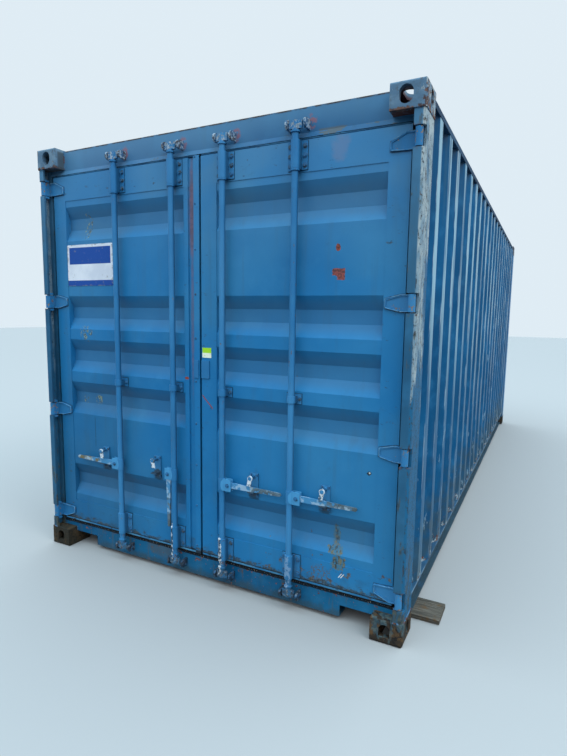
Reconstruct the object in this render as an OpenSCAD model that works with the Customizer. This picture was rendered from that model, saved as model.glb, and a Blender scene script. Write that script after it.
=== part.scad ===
// Steel freight container, twenty feet long and eight and a half feet high, doors closed.
// X runs across the container, the door end faces -Y, Z is up from the ground.

/* [Envelope] */
// Overall length over the corner castings
container_length = 6058; // [4000:1:12192]
// Overall width over the corner castings
container_width = 2438; // [2400:1:2500]
// Overall height over the corner castings
container_height = 2591; // [2438:1:2896]

/* [Corner castings] */
// Casting size across the container
casting_x = 162; // [155:1:170]
// Casting size along the container
casting_y = 178; // [170:1:190]
// Casting height
casting_z = 118; // [110:1:125]
// Thickness of the load face and of the two outer faces
casting_wall = 28; // [22:1:30]
// Thickness of the faces welded to the frame
casting_weld_wall = 15; // [10:1:20]
// Length of the twistlock slot in the load face
slot_length = 124.5; // [120:0.5:130]
// Width of the twistlock slot
slot_width = 63.5; // [60:0.5:66]
// Slot centre from the side of the container
slot_from_side = 89.5; // [80:0.5:95]
// Slot centre from the end of the container
slot_from_end = 102.5; // [95:0.5:110]
// Width of the hole in the end face
end_hole_width = 63.5; // [50:0.5:66]
// Width of the hole in the side face
side_hole_width = 51; // [45:0.5:66]
// Height of the holes in the end and side faces
face_hole_height = 79.5; // [70:0.5:82]
// Height of the arched hole in the end face of a bottom casting
arch_hole_height = 66; // [60:1:68]
// Width of the arched hole in the end face of a bottom casting
arch_hole_width = 58; // [50:1:66]
// Shift of the round holes out of the middle of the casting height
casting_hole_shift = 2; // [0:0.5:4]
// Rounding of the outer upright edge of a casting
casting_round = 20; // [10:1:24]
// Rounding of the edges round the load face of a casting
casting_edge = 12; // [4:1:14]

/* [Steel frame] */
// How far posts, rails and header sit inside the casting faces
frame_inset = 3; // [2:0.5:8]
// How far the door posts sit behind the casting end faces
post_inset = 6; // [3:0.5:10]
// How far the roof and the headers sit below the casting tops
top_inset = 6; // [4:0.5:10]
// How far the side rails sit inside the casting faces
rail_inset = 8; // [5:0.5:12]
// How far the top side rails sit below the casting tops
top_rail_drop = 23; // [18:1:30]
// Height of the bottom rails above the ground
rail_lift = 25; // [17:1:30]
// Plate thickness of the rolled door post
post_plate = 12; // [8:1:14]
// Width of the front flange of the door post
post_flange = 50; // [46:1:54]
// Rounding of the outer edge of the door post
post_round = 20; // [16:1:22]
// Plate thickness of the inner channel of the door post
jamb_plate = 10; // [6:1:12]
// Width of the door post from the side face to the door opening
jamb_width = 46; // [46:1:50]
// Depth from the door post face to the jamb
gutter_depth = 63; // [62:1:70]
// Plate thickness of the rear posts
rear_post_plate = 6; // [4:1:8]
// Depth of the rear post flange beside the end wall
rear_post_return = 40; // [25:1:60]
// Height of the bottom side rails
bottom_rail_height = 158; // [140:1:175]
// Plate thickness of the bottom rails, header and sills
rail_plate = 4.5; // [3:0.5:6]
// Width of the upper flange of a bottom side rail
bottom_rail_top_flange = 48; // [40:1:60]
// Width of the lower flange of a bottom side rail
bottom_rail_low_flange = 30; // [25:1:45]
// Width of the tube of the top rails
top_rail_width = 60; // [50:1:80]
// Height of the tube of the top rails
top_rail_height = 28; // [24:1:60]
// Size of the square tube of the rear header
rear_header_size = 60; // [50:1:80]
// Wall of the tubes of the top rails and the rear header
top_rail_wall = 3; // [2:0.5:5]
// How far the header and the door sill sit behind the casting end faces
lintel_recess = 77; // [70:1:80]
// Height of the header from its lower edge to the casting tops
header_depth = 149; // [140:1:155]
// Height of the top of the door sill
sill_top = 158; // [150:1:160]
// Slope of the lip along the bottom of the header
header_lip_height = 24; // [15:1:30]
// How far the header lip stands forward
header_lip_depth = 10; // [4:1:11]
// Width of the notch in the door sill beside each casting
notch_width = 187; // [150:1:220]
// Top of the sill notch
notch_top = 88; // [70:1:110]

/* [Walls and roof] */
// Thickness of the side, end and roof sheets
sheet = 2; // [1.6:0.1:3]
// Depth of the side wall corrugations
side_depth = 36; // [30:1:38]
// Width of an outer flat of a side wall
side_crest = 72; // [60:1:90]
// Width of a slope of a side wall
side_slope = 68; // [50:1:80]
// Width of an inner flat of a side wall
side_valley = 70; // [60:1:90]
// Inner flat of a side wall beside the door post
side_lead = 106; // [60:1:160]
// How far the side wall sits inside the rail faces
side_setback = 2; // [0.5:0.5:4]
// Depth of the end wall corrugations
end_depth = 45.6; // [36:0.1:48]
// Width of an outer flat of the end wall
end_crest = 110; // [90:1:130]
// Width of a slope of the end wall
end_slope = 18; // [14:1:40]
// Width of an inner flat of the end wall
end_valley = 104; // [90:1:130]
// Depth of the roof corrugations
roof_depth = 17; // [12:1:20]
// Width of a raised flat of the roof
roof_crest = 91; // [70:1:110]
// Width of a slope of the roof
roof_slope = 13.5; // [10:0.5:30]
// Width of a low flat of the roof
roof_valley = 91; // [70:1:110]
// Flat margin of the roof beside the top rails
roof_margin = 60; // [30:1:100]

/* [Floor] */
// Height of the top of the floor
floor_top = 165; // [160:1:170]
// Thickness of the plywood
floor_board = 28; // [21:1:30]
// Number of plywood sheets along the floor
floor_sheets = 5; // [3:1:8]
// Gap between two plywood sheets
floor_gap = 2; // [1:0.5:4]
// Number of cross members
cross_count = 19; // [12:1:24]
// Flange width of a cross member
cross_flange = 45; // [35:1:60]
// Plate thickness of a cross member
cross_plate = 4; // [3:0.5:6]

/* [Door leaves] */
// How far the leaf faces sit behind the casting end faces
leaf_recess = 64; // [62:1:66]
// Thickness of a leaf
leaf_thick = 50; // [45:1:55]
// Gap between a leaf and the jamb
jamb_gap = 22; // [20:1:24]
// Gap between a leaf and the sill and header
leaf_end_gap = 12; // [10:1:14]
// Half of the gap between the two leaves
meeting_half_gap = 8; // [8:1:10]
// Width of the leaf stiles
stile_width = 102; // [90:1:104]
// Height of the top rail of a leaf
leaf_top_rail = 150; // [140:1:160]
// Height of the bottom rail of a leaf
leaf_bottom_rail = 144; // [130:1:160]
// Plate thickness of the leaf rails
leaf_plate = 4; // [3:0.5:6]
// How far the panel sheet sits behind the frame face
panel_setback = 3; // [1:0.5:5]
// Depth of the panel recesses
recess_depth = 36; // [25:1:38]
// Height of the flat of a panel recess
recess_flat = 70; // [50:1:90]
// Height of each slope of a panel recess
recess_slope = 70; // [50:1:80]
// Flat left above and below the rows of recesses together
recess_spare = 20; // [6:1:40]
// How far the middle recess sits above the middle of the panel
recess_rise = 5; // [0:1:8]
// Depth of the groove in the closing stile of the left leaf
groove_depth = 10; // [5:1:14]
// Distance of the groove from the closing strip
groove_gap = 2; // [1:0.5:5]
// Width of the groove in the closing stile of the left leaf
groove_width = 39; // [30:1:44]
// Thickness of the closing strip on the left leaf
strip_thick = 4; // [3:0.5:6]
// Width of the closing strip on the left leaf
strip_width = 37; // [34:1:40]
// Reach of the closing strip past the meeting edge of the left leaf
strip_reach = 5; // [2:0.5:5]
// Reach of the closing strip above the left leaf
strip_rise = 6; // [0:0.5:6]
// Reach of the gasket past the leaf edges
gasket_reach = 7; // [5:1:7]
// Reach of the gasket past the hinge edge
gasket_hinge_reach = 17; // [12:1:17]
// Reach of the gasket past the meeting edge
gasket_meeting_reach = 3; // [1:0.5:3]
// Thickness of the gasket behind the leaf edge
gasket_thick = 25; // [15:1:30]
// Distance of the gasket from the back of the leaf
gasket_back = 10; // [5:1:14]

/* [Hinges] */
// Hinge pin distance from the side face of the post
hinge_inset = 28; // [27:0.5:30]
// Hinge pin distance behind the casting end faces
hinge_recess = 24; // [23:1:26]
// Diameter of the hinge pins
hinge_pin = 16; // [12:0.5:20]
// Diameter of the hinge pins inside their lugs
hinge_pin_end = 10; // [8:0.5:11]
// Radial clearance of a hinge pin in its knuckle
hinge_fit = 0.1; // [0.05:0.01:0.1]
// Outer diameter of a hinge knuckle
knuckle = 34; // [30:1:36]
// Height of a hinge knuckle
knuckle_height = 80; // [60:1:90]
// Free space above and below a knuckle in its cut-out
knuckle_gap = 5; // [5:0.5:8]
// Thickness of the lugs that hold a hinge pin
hinge_lug = 12; // [8:1:16]
// Depth of the lugs behind a hinge pin
hinge_lug_back = 12; // [6:1:16]
// Height of the lowest hinge
hinge_low = 228; // [220:1:320]
// Highest hinge below the top of the container
hinge_top_drop = 233; // [225:1:330]
// Number of hinges of a leaf
hinge_count = 4; // [3:1:5]
// Reach of a hinge blade past its pin, inside the knuckle
blade_overrun = 5; // [2:1:8]
// Length of a hinge blade from the pin
blade_length = 135; // [120:1:150]
// Thickness of a hinge blade on the leaf
blade_thick = 9; // [7:0.5:9]
// Height of the narrow end of a hinge blade
blade_tip = 44; // [30:1:60]
// Length of the full height part of a hinge blade
blade_full = 45; // [30:1:60]
// How far the tips of the top and the lowest blade lean to the middle of the leaf
blade_lean = 14; // [0:1:18]
// Width of the arm between knuckle and blade, leaf side of the pin
blade_arm = 15.5; // [12:0.5:15.5]
// Depth of the pressed field of a hinge blade
blade_field = 4; // [1:0.5:5]
// Width of the raised rim of a hinge blade
blade_rim = 8; // [5:1:12]

/* [Lock bars] */
// Inner lock bar distance from the middle of the container
bar_inner_x = 170; // [150:1:200]
// Outer lock bar distance from the middle of the container
bar_outer_x = 593; // [550:1:620]
// Lock bar distance behind the casting end faces
bar_recess = 29; // [28:1:30]
// Diameter of a lock bar
bar = 34; // [27:1:34]
// Radial clearance of a lock bar in its brackets
bar_fit = 0.5; // [0.2:0.1:0.5]
// Wall of a bearing bracket round the bar
bearing_wall = 5; // [4:0.5:5.5]
// Width of a bearing bracket plate
bearing_plate_width = 104; // [80:1:120]
// Thickness of a bearing bracket plate
bearing_plate = 6; // [4:1:8]
// Height of the top bearing bracket
bearing_top_height = 134; // [100:1:140]
// Height of the bottom bearing bracket
bearing_low_height = 124; // [100:1:140]
// Distance of the top bearing bracket from the top of the leaf
bearing_top_gap = 6; // [2:1:20]
// Distance of the bottom bearing bracket from the foot of the leaf
bearing_low_gap = 18; // [10:1:26]
// Height of the middle of the guide bracket
guide_z = 1158; // [1140:1:1170]
// Height of the guide bracket
guide_height = 36; // [25:1:44]
// Width of the guide bracket plate
guide_plate_width = 84; // [70:1:100]
// Height of the guide bracket plate
guide_plate_height = 52; // [44:1:60]
// Height of a cam horn
cam_height = 38; // [25:1:42]
// Reach of a cam horn from the bar axis
cam_reach = 35; // [30:1:35]
// Thickness of a cam at the bar
cam_thick = 22; // [16:1:22]
// Thickness of a cam at its tips
cam_tip = 10; // [6:1:16]
// Length of the thick middle of a cam
cam_middle = 32; // [20:1:50]
// Middle of the top cams below the casting tops
cam_top_drop = 98; // [95:1:100]
// Middle of the low cams above the ground
cam_low_z = 107; // [104:1:110]
// Clearance between cam and keeper lug
keeper_gap = 8; // [7:1:12]
// Thickness of a keeper lug
keeper_lug = 12; // [8:1:16]
// Height of a keeper lug
keeper_height = 46; // [36:1:48]
// Middle of the keepers on the header, below the casting tops
keeper_top_drop = 91; // [88:1:96]
// Middle of the keepers on the sill
keeper_low_z = 92; // [88:1:100]
// Thickness of a collar on a lock bar
collar = 8; // [5:1:10]
// Diameter of a collar on a lock bar
collar_dia = 46; // [40:1:50]
// Gap between a collar and the bracket beside it
collar_gap = 1; // [0.5:0.5:2]
// Middle of the top collar below the casting tops
collar_top_drop = 129; // [127:1:131]
// Middle of the low collar above the ground
collar_low_z = 148; // [146:1:150]

/* [Handles] */
// Height of the handle pins
handle_z = 640; // [620:1:660]
// Handle pin distance from the bar axis
handle_offset = 41; // [41:0.5:44]
// Diameter of the handle pins
handle_pin = 12; // [8:1:14]
// Radial clearance of a handle on its pin
handle_fit = 0.1; // [0.05:0.01:0.1]
// Length of a handle from its pin
handle_length = 330; // [280:1:345]
// Thickness of a handle
handle_thick = 10; // [6:1:12]
// Height of the handle at its root
handle_root = 34; // [28:1:34]
// Height of the handle at its end
handle_grip = 18; // [14:1:28]
// How far the straight edges of a handle lie inside its round ends
handle_edge_inset = 0.2; // [0.1:0.1:1]
// Diameter of the hub sleeve on a bar
hub_dia = 41; // [38:1:44]
// Height of the hub block
hub_height = 68; // [50:1:80]
// Thickness of each hub cheek
hub_cheek = 6; // [4:1:8]
// Gap between handle and hub cheek
hub_gap = 2; // [1:0.5:3]
// Reach of the hub cheeks past the handle pin
hub_reach = 21; // [17:1:26]
// Reach of a handle pin past its cheeks
handle_pin_end = 3; // [1:0.5:4]

/* [Handle retainers] */
// Distance from a bar to its handle retainer on the left leaf
retainer_left = 154; // [145:1:175]
// Distance from a bar to its handle retainer on the right leaf
retainer_right = 188; // [160:1:195]
// Width of a handle retainer plate
retainer_width = 50; // [44:1:60]
// Height of a handle retainer plate above the handle pins
retainer_up = 84; // [80:1:95]
// Height of a handle retainer plate below the handle pins
retainer_down = 52; // [40:1:60]
// Thickness of a handle retainer plate and shelf
retainer_plate = 6; // [4:1:8]
// Width of the shelf under a seated handle
shelf_width = 38; // [30:1:42]
// Reach of the shelf past the front of a handle
shelf_reach = 5; // [2:1:6]
// Gap between a seated handle and its shelf
seat_gap = 0.3; // [0.2:0.1:1]
// Height of a hasp pin above the handle pins
hasp_rise = 64; // [62:1:68]
// Diameter of the post that carries a hasp
hasp_post = 16; // [14:1:18]
// Diameter of a hasp pin
hasp_pin = 12; // [8:1:12]
// Radial clearance of a hasp on its pin
hasp_fit = 0.1; // [0.05:0.01:0.1]
// Diameter of a hasp eye
hasp_eye = 30; // [26:1:34]
// Thickness of a hasp
hasp_thick = 6; // [4:0.5:7]
// Clearance between a handle and the hasp in front of it
hasp_gap = 5; // [5:0.5:7]
// Width of the tongue of a hasp
hasp_width = 22; // [16:1:24]
// Length of a hasp from its pin to the end of the tongue
hasp_length = 43; // [34:1:44]
// Lean of the tongue of a hasp to the bar
hasp_lean = 8; // [0:1:8]
// Diameter of the head of a hasp pin
hasp_head = 20; // [16:1:24]
// Thickness of the head of a hasp pin
hasp_head_thick = 2; // [1:0.5:4]
// End clearance of a hasp on its pin
hasp_play = 1; // [0.5:0.5:2]

/* [Seal plate and boards] */
// Height of the seal plate
seal_plate_height = 100; // [60:1:130]
// Height of the middle of the seal plate
seal_plate_z = 1274; // [1250:1:1400]
// Width of the seal plate on the right leaf
seal_plate_right = 53; // [30:1:70]
// Width of the seal plate on the left leaf
seal_plate_left = 30; // [20:1:30]
// Distance of the seal plates from the meeting edges
seal_plate_edge = 1; // [0.5:0.5:3]
// Thickness of the seal plate
seal_plate = 6; // [4:1:10]
// Width of a timber board along the container
board_width = 182; // [120:1:250]
// Distance of a timber board from the door end
board_from_end = 286; // [200:1:400]
// How far a timber board stands out beside the container
board_reach = 123; // [50:1:200]
// Length of a timber board
board_length = 342; // [250:1:600]

/* [Hidden] */

$fn = 48;
LEFT = -1;
RIGHT = 1;
DOOR = -1;
REAR = 1;
LOW = -1;
TOP = 1;
over = 1;

paint = [0.20, 0.42, 0.62];
paint_pale = [0.30, 0.52, 0.70];
bare = [0.62, 0.62, 0.60];
rust = [0.36, 0.24, 0.17];
rubber = [0.05, 0.05, 0.06];
wood = [0.46, 0.38, 0.29];

half_l = container_length / 2;
half_w = container_width / 2;
side_x = half_w - frame_inset;
door_y = -half_l;
post_y = door_y + post_inset;
frame_y = half_l - casting_y;
rear_y = half_l - post_inset;
post_top = container_height - casting_z;
roof_top = container_height - top_inset;
roof_low = roof_top - roof_depth;
casting_inner_x = half_w - casting_x;
rail_x = half_w - rail_inset;
rail_web = rail_x - bottom_rail_top_flange;
rail_top = rail_lift + bottom_rail_height;
top_rail_top = container_height - top_rail_drop;
top_rail_under = top_rail_top - top_rail_height;
top_rail_inner = rail_x - top_rail_width;
rear_header_under = roof_top - rear_header_size;
lintel_y = door_y + lintel_recess;
header_under = container_height - header_depth;
opening_half = side_x - jamb_width;
jamb_y = post_y + gutter_depth;
wall_x = rail_x - side_setback;
end_wall_y = rear_y - sheet;
end_wall_half = casting_inner_x;

leaf_y = door_y + leaf_recess;
leaf_back = leaf_y + leaf_thick;
leaf_low = sill_top + leaf_end_gap;
leaf_top = header_under - leaf_end_gap;
leaf_hinge_x = opening_half - jamb_gap;
leaf_width = leaf_hinge_x - meeting_half_gap;
panel_x0 = meeting_half_gap + stile_width;
panel_x1 = leaf_hinge_x - stile_width;
panel_low = leaf_low + leaf_bottom_rail;
panel_top = leaf_top - leaf_top_rail;
panel_y = leaf_y + panel_setback;
RECESS_ROWS = [-3, -1, 0, 1, 3];
recess_middle = (panel_low + panel_top) / 2 + recess_rise;
recess_pitch = (panel_top - panel_low - recess_spare) / 7;
strip_edge = meeting_half_gap - strip_reach;
groove_near = strip_edge + strip_width + groove_gap;

hinge_x = side_x - hinge_inset;
hinge_y = door_y + hinge_recess;
hinge_pitch = (container_height - hinge_top_drop - hinge_low) / (hinge_count - 1);
HINGES = [for (i = [0:hinge_count - 1]) hinge_low + i * hinge_pitch];
cut_half = knuckle_height / 2 + knuckle_gap;
blade_front = leaf_y - blade_thick;

bar_y = door_y + bar_recess;
bearing_half = bar / 2 + bar_fit + bearing_wall;
bearing_top_z = leaf_top - bearing_top_gap - bearing_top_height / 2;
bearing_low_z = leaf_low + bearing_low_gap + bearing_low_height / 2;
keeper_top_z = container_height - keeper_top_drop;
cam_top_z = container_height - cam_top_drop;
collar_top_z = container_height - collar_top_drop;
cheek_y = handle_thick / 2 + hub_gap;
handle_run = handle_length - handle_grip / 2;
handle_slope = asin((handle_root - handle_grip) / 2 / handle_run);
hasp_z = handle_z + hasp_rise;
hasp_back = bar_y - handle_thick / 2 - hasp_gap;
hasp_front = hasp_back - hasp_thick;

// Small building blocks

module block(x0, x1, y0, y1, z0, z1) {
  translate([x0, y0, z0]) cube([x1 - x0, y1 - y0, z1 - z0]);
}

module on_side(side) {
  mirror([side == LEFT ? 1 : 0, 0, 0]) children();
}

module at_corner(side, end, level) {
  translate([side * half_w, end * half_l, level == TOP ? container_height : 0])
    mirror([side == RIGHT ? 1 : 0, 0, 0])
      mirror([0, end == REAR ? 1 : 0, 0])
        mirror([0, 0, level == TOP ? 1 : 0])
          children();
}

module stadium(length, width) {
  straight = length - width;
  square([straight, width], center = true);
  for (s = [-1, 1]) translate([s * straight / 2, 0]) circle(d = width);
}

module round_corner(width, height, radius) {
  translate([radius, 0]) square([width - radius, height]);
  translate([0, radius]) square([width, height - radius]);
  translate([radius, radius]) circle(r = radius);
}

module arch(width, height) {
  translate([-width / 2, 0]) square([width, height - width / 2]);
  translate([0, height - width / 2]) circle(d = width);
}

// Extrudes a Y-Z outline along X between two places.
module along_x(x0, x1) {
  translate([x0, 0, 0])
    rotate([90, 0, 90])
      linear_extrude(x1 - x0)
        children();
}

// Extrudes an X-Z outline along Y between two places.
module along_y(y0, y1) {
  translate([0, y1, 0])
    rotate([90, 0, 0])
      linear_extrude(y1 - y0)
        children();
}

// Extrudes an X-Y outline upwards between two heights.
module along_z(z0, z1) {
  translate([0, 0, z0]) linear_extrude(z1 - z0) children();
}

// Points of a corrugation that starts with a low flat and ends on a crest.
function led_wave(span, lead, crest, slope, valley, depth) =
  let (pitch = crest + 2 * slope + valley)
  let (count = floor((span - lead - slope - crest) / pitch))
  concat(
    [[0, -depth]],
    [for (i = [0:count - 1])
      for (p = [[0, -depth], [slope, 0], [slope + crest, 0], [2 * slope + crest, -depth]])
        [lead + i * pitch + p[0], p[1]]],
    [[lead + count * pitch, -depth], [lead + count * pitch + slope, 0], [span, 0]]
  );

// Points of a trapezoid corrugation from 0 to span: crests at 0, valleys at -depth.
function wave(span, crest, slope, valley, depth) =
  let (pitch = crest + 2 * slope + valley)
  let (count = floor((span - crest) / pitch))
  let (start = (span - count * pitch - crest) / 2)
  concat(
    [[0, 0]],
    [for (i = [0:count - 1])
      for (p = [[crest, 0], [crest + slope, -depth], [crest + slope + valley, -depth], [pitch, 0]])
        [start + i * pitch + p[0], p[1]]],
    [[span, 0]]
  );

// A sheet that follows the wave and hangs its own thickness below it.
module corrugated(points, thick) {
  count = len(points);
  polygon(concat(points, [for (i = [count - 1:-1:0]) [points[i][0], points[i][1] - thick]]));
}

// Corner castings

module casting(side, end, level) {
  hole_z = casting_z / 2 - casting_hole_shift;
  arch_z = (casting_z + casting_wall - casting_weld_wall - arch_hole_height + casting_hole_shift) / 2;
  low_door = level == LOW && end == DOOR;
  color(level == LOW ? rust : paint)
    at_corner(side, end, level)
      difference() {
        intersection() {
          along_z(0, casting_z) round_corner(casting_x, casting_y, casting_round);
          along_y(0, casting_y) round_corner(casting_x, casting_z, casting_edge);
          along_x(0, casting_x) round_corner(casting_y, casting_z, casting_edge);
        }
        translate([casting_wall, casting_wall, casting_wall])
          cube([casting_x, casting_y, casting_z] - [1, 1, 1] * (casting_wall + casting_weld_wall));
        translate([slot_from_side, slot_from_end, -over])
          linear_extrude(casting_wall + 2 * over)
            rotate(90)
              stadium(slot_length, slot_width);
        translate([slot_from_side, casting_wall + over, low_door ? arch_z : hole_z])
          rotate([90, 0, 0])
            linear_extrude(casting_wall + 2 * over)
              if (low_door) arch(arch_hole_width, arch_hole_height);
              else rotate(90) stadium(face_hole_height, end_hole_width);
        translate([-over, slot_from_end, hole_z])
          rotate([90, 0, 90])
            linear_extrude(casting_wall + 2 * over)
              rotate(90)
                stadium(face_hole_height, side_hole_width);
      }
}

// Frame

module post_door(side) {
  flange_x = side_x - post_flange;
  web_x = side_x - post_plate;
  color(paint_pale)
    on_side(side)
      difference() {
        along_z(casting_z, post_top) {
          translate([web_x, post_y + post_round]) square([post_plate, -frame_y - post_y - post_round]);
          translate([flange_x, post_y]) square([post_flange - post_round, post_plate]);
          intersection() {
            translate([side_x - post_round, post_y + post_round])
              difference() {
                circle(r = post_round);
                circle(r = post_round - post_plate);
              }
            translate([side_x - post_round, post_y]) square(post_round);
          }
          difference() {
            translate([opening_half, jamb_y]) square([web_x - opening_half, -frame_y - jamb_y]);
            translate([opening_half + jamb_plate, jamb_y + jamb_plate])
              square([web_x - opening_half - jamb_plate, -frame_y - jamb_y - 2 * jamb_plate]);
          }
        }
        for (z = HINGES)
          block(flange_x - over, side_x + over, post_y - over, hinge_y + knuckle / 2, z - cut_half, z + cut_half);
      }
}

module post_rear_outline(inset) {
  y0 = frame_y;
  diagonal = casting_inner_x + rear_y - rear_post_return;
  low = diagonal + inset * sqrt(2);
  polygon([
    [side_x - inset, y0 + inset],
    [side_x - inset, rear_y - inset],
    [casting_inner_x + inset, rear_y - inset],
    [casting_inner_x + inset, low - casting_inner_x - inset],
    [low - y0 - inset, y0 + inset]
  ]);
}

module post_rear(side) {
  color(paint)
    on_side(side)
      along_z(casting_z, post_top)
        difference() {
          post_rear_outline(0);
          post_rear_outline(rear_post_plate);
        }
}

module door_header() {
  lip = header_under + header_lip_height;
  color(paint)
    difference() {
      along_x(-opening_half, opening_half)
        difference() {
          polygon([
            [lintel_y, roof_top], [lintel_y, lip], [lintel_y - header_lip_depth, header_under],
            [-frame_y, header_under], [-frame_y, roof_top]
          ]);
          polygon([
            [lintel_y + rail_plate, roof_top - rail_plate], [lintel_y + rail_plate, header_under + rail_plate],
            [-frame_y - rail_plate, header_under + rail_plate], [-frame_y - rail_plate, roof_top - rail_plate]
          ]);
        }
      for (side = [LEFT, RIGHT])
        on_side(side)
          block(casting_inner_x, opening_half + over, door_y, -frame_y + over, post_top, roof_top + over);
    }
}

module door_sill() {
  color(paint_pale)
    difference() {
      along_x(-opening_half, opening_half)
        difference() {
          translate([lintel_y, rail_lift]) square([-frame_y - lintel_y, sill_top - rail_lift]);
          translate([lintel_y + rail_plate, rail_lift + rail_plate])
            square([-frame_y - lintel_y, sill_top - rail_lift - 2 * rail_plate]);
        }
      for (side = [LEFT, RIGHT])
        on_side(side) {
          block(casting_inner_x, opening_half + over, door_y, -frame_y + over, rail_lift - over, casting_z);
          block(casting_inner_x - notch_width, casting_inner_x + over, door_y, -frame_y + over,
            rail_lift - over, notch_top);
        }
    }
}

module rear_header() {
  color(paint)
    along_x(-casting_inner_x, casting_inner_x)
      translate([rear_y - rear_header_size, rear_header_under])
        difference() {
          square(rear_header_size);
          translate([top_rail_wall, top_rail_wall]) square(rear_header_size - 2 * top_rail_wall);
        }
}

module rear_sill() {
  color(paint)
    along_x(-casting_inner_x, casting_inner_x) {
      translate([rear_y - rail_plate, rail_lift]) square([rail_plate, bottom_rail_height]);
      for (z = [rail_lift, rail_top - rail_plate])
        translate([rear_y - bottom_rail_top_flange, z]) square([bottom_rail_top_flange, rail_plate]);
    }
}

module top_rail(side) {
  color(paint)
    on_side(side)
      along_y(-frame_y, frame_y)
        translate([top_rail_inner, top_rail_under])
          difference() {
            square([top_rail_width, top_rail_height]);
            translate([top_rail_wall, top_rail_wall])
              square([top_rail_width - 2 * top_rail_wall, top_rail_height - 2 * top_rail_wall]);
          }
}

// A channel with its web inside and both flanges turned outwards.
module bottom_rail(side) {
  color(paint)
    on_side(side)
      along_y(-frame_y, frame_y)
        translate([rail_web, rail_lift]) {
          square([rail_plate, bottom_rail_height]);
          square([bottom_rail_low_flange, rail_plate]);
          translate([0, bottom_rail_height - rail_plate]) square([bottom_rail_top_flange, rail_plate]);
        }
}

// Walls, roof and floor

module side_wall(side) {
  color(paint)
    on_side(side)
      along_z(rail_top, top_rail_under)
        translate([wall_x, -frame_y])
          rotate(90)
            mirror([0, 1])
              corrugated(led_wave(2 * frame_y, side_lead, side_crest, side_slope, side_valley, side_depth), sheet);
}

module end_wall() {
  color(paint)
    along_z(rail_top, rear_header_under)
      translate([-end_wall_half, end_wall_y])
        corrugated(wave(2 * end_wall_half, end_crest, end_slope, end_valley, end_depth), sheet);
}

// The space under the raised flats of the roof, with closed and slanted ends.
module roof_flats(drop, run) {
  crests = wave(run, roof_valley, roof_slope, roof_crest, -roof_depth);
  intersection() {
    along_x(-top_rail_inner, top_rail_inner)
      translate([-frame_y, roof_low - sheet - drop]) {
        polygon(concat([[0, 0]], [for (p = crests) [p[0], p[1] + sheet]], [[run, 0]]));
      }
    along_y(-frame_y, run - frame_y)
      translate([0, roof_low - sheet - drop]) {
        far = top_rail_inner - roof_margin;
        near = far - roof_slope;
        polygon([
          [-top_rail_inner, 0], [-top_rail_inner, sheet], [-far, sheet], [-near, sheet + roof_depth],
          [near, sheet + roof_depth], [far, sheet], [top_rail_inner, sheet], [top_rail_inner, 0]
        ]);
      }
  }
}

module roof() {
  run = rear_y - rear_header_size + frame_y;
  color(paint)
    difference() {
      roof_flats(0, run);
      roof_flats(sheet, run);
      for (side = [LEFT, RIGHT])
        on_side(side)
          block(casting_inner_x, top_rail_inner + over, frame_y, rear_y, roof_low - 2 * sheet, roof_top + over);
    }
}

module floor_boards() {
  board_y = 2 * frame_y / floor_sheets;
  tail_end = end_wall_y - end_depth - 2 * sheet;
  color(wood) {
    for (i = [0:floor_sheets - 1])
      block(-rail_web, rail_web, -frame_y + i * board_y, -frame_y + (i + 1) * board_y - floor_gap,
        floor_top - floor_board, floor_top);
    block(-casting_inner_x, casting_inner_x, frame_y, tail_end, floor_top - floor_board, floor_top);
  }
}

module cross_members() {
  under = rail_lift;
  high = floor_top - floor_board;
  step = (2 * frame_y - cross_flange) / (cross_count - 1);
  color(rust)
    for (i = [0:cross_count - 1])
      along_x(-rail_web, rail_web)
        translate([-frame_y + i * step, under]) {
          square([cross_plate, high - under]);
          square([cross_flange, cross_plate]);
          translate([0, high - under - cross_plate]) square([cross_flange, cross_plate]);
        }
}

// Keepers, hinge pins and boards

module keepers(z) {
  near = cam_reach + keeper_gap;
  nose = bar_y - cam_thick / 2 + keeper_height / 2;
  color(bare)
    for (side = [LEFT, RIGHT], x = [bar_inner_x, bar_outer_x], s = [-1, 1])
      on_side(side)
        translate([x + s * (near + keeper_lug / 2), 0, z])
          along_x(-keeper_lug / 2, keeper_lug / 2) {
            translate([nose, -keeper_height / 2]) square([lintel_y - nose, keeper_height]);
            translate([nose, 0]) circle(d = keeper_height);
          }
}

module hinge_pins(side) {
  flange_x = side_x - post_flange;
  lug_back = hinge_y + hinge_pin / 2 + hinge_lug_back;
  color(paint_pale)
    on_side(side)
      for (z = HINGES) {
        for (s = [-1, 1])
          translate([0, 0, z + s * (cut_half + hinge_lug / 2)])
            block(flange_x, side_x - post_round, post_y + post_plate, lug_back, -hinge_lug / 2, hinge_lug / 2);
        translate([hinge_x, hinge_y, z]) {
          cylinder(d = hinge_pin, h = 2 * cut_half, center = true);
          cylinder(d = hinge_pin_end, h = 2 * (cut_half + hinge_lug), center = true);
        }
      }
}

module timber_boards() {
  board_x = half_w + board_reach;
  board_y = door_y + board_from_end;
  color(wood)
    for (side = [LEFT, RIGHT])
      on_side(side)
        block(board_x - board_length, board_x, board_y, board_y + board_width, 0, rail_lift);
}

// Door leaves

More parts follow.
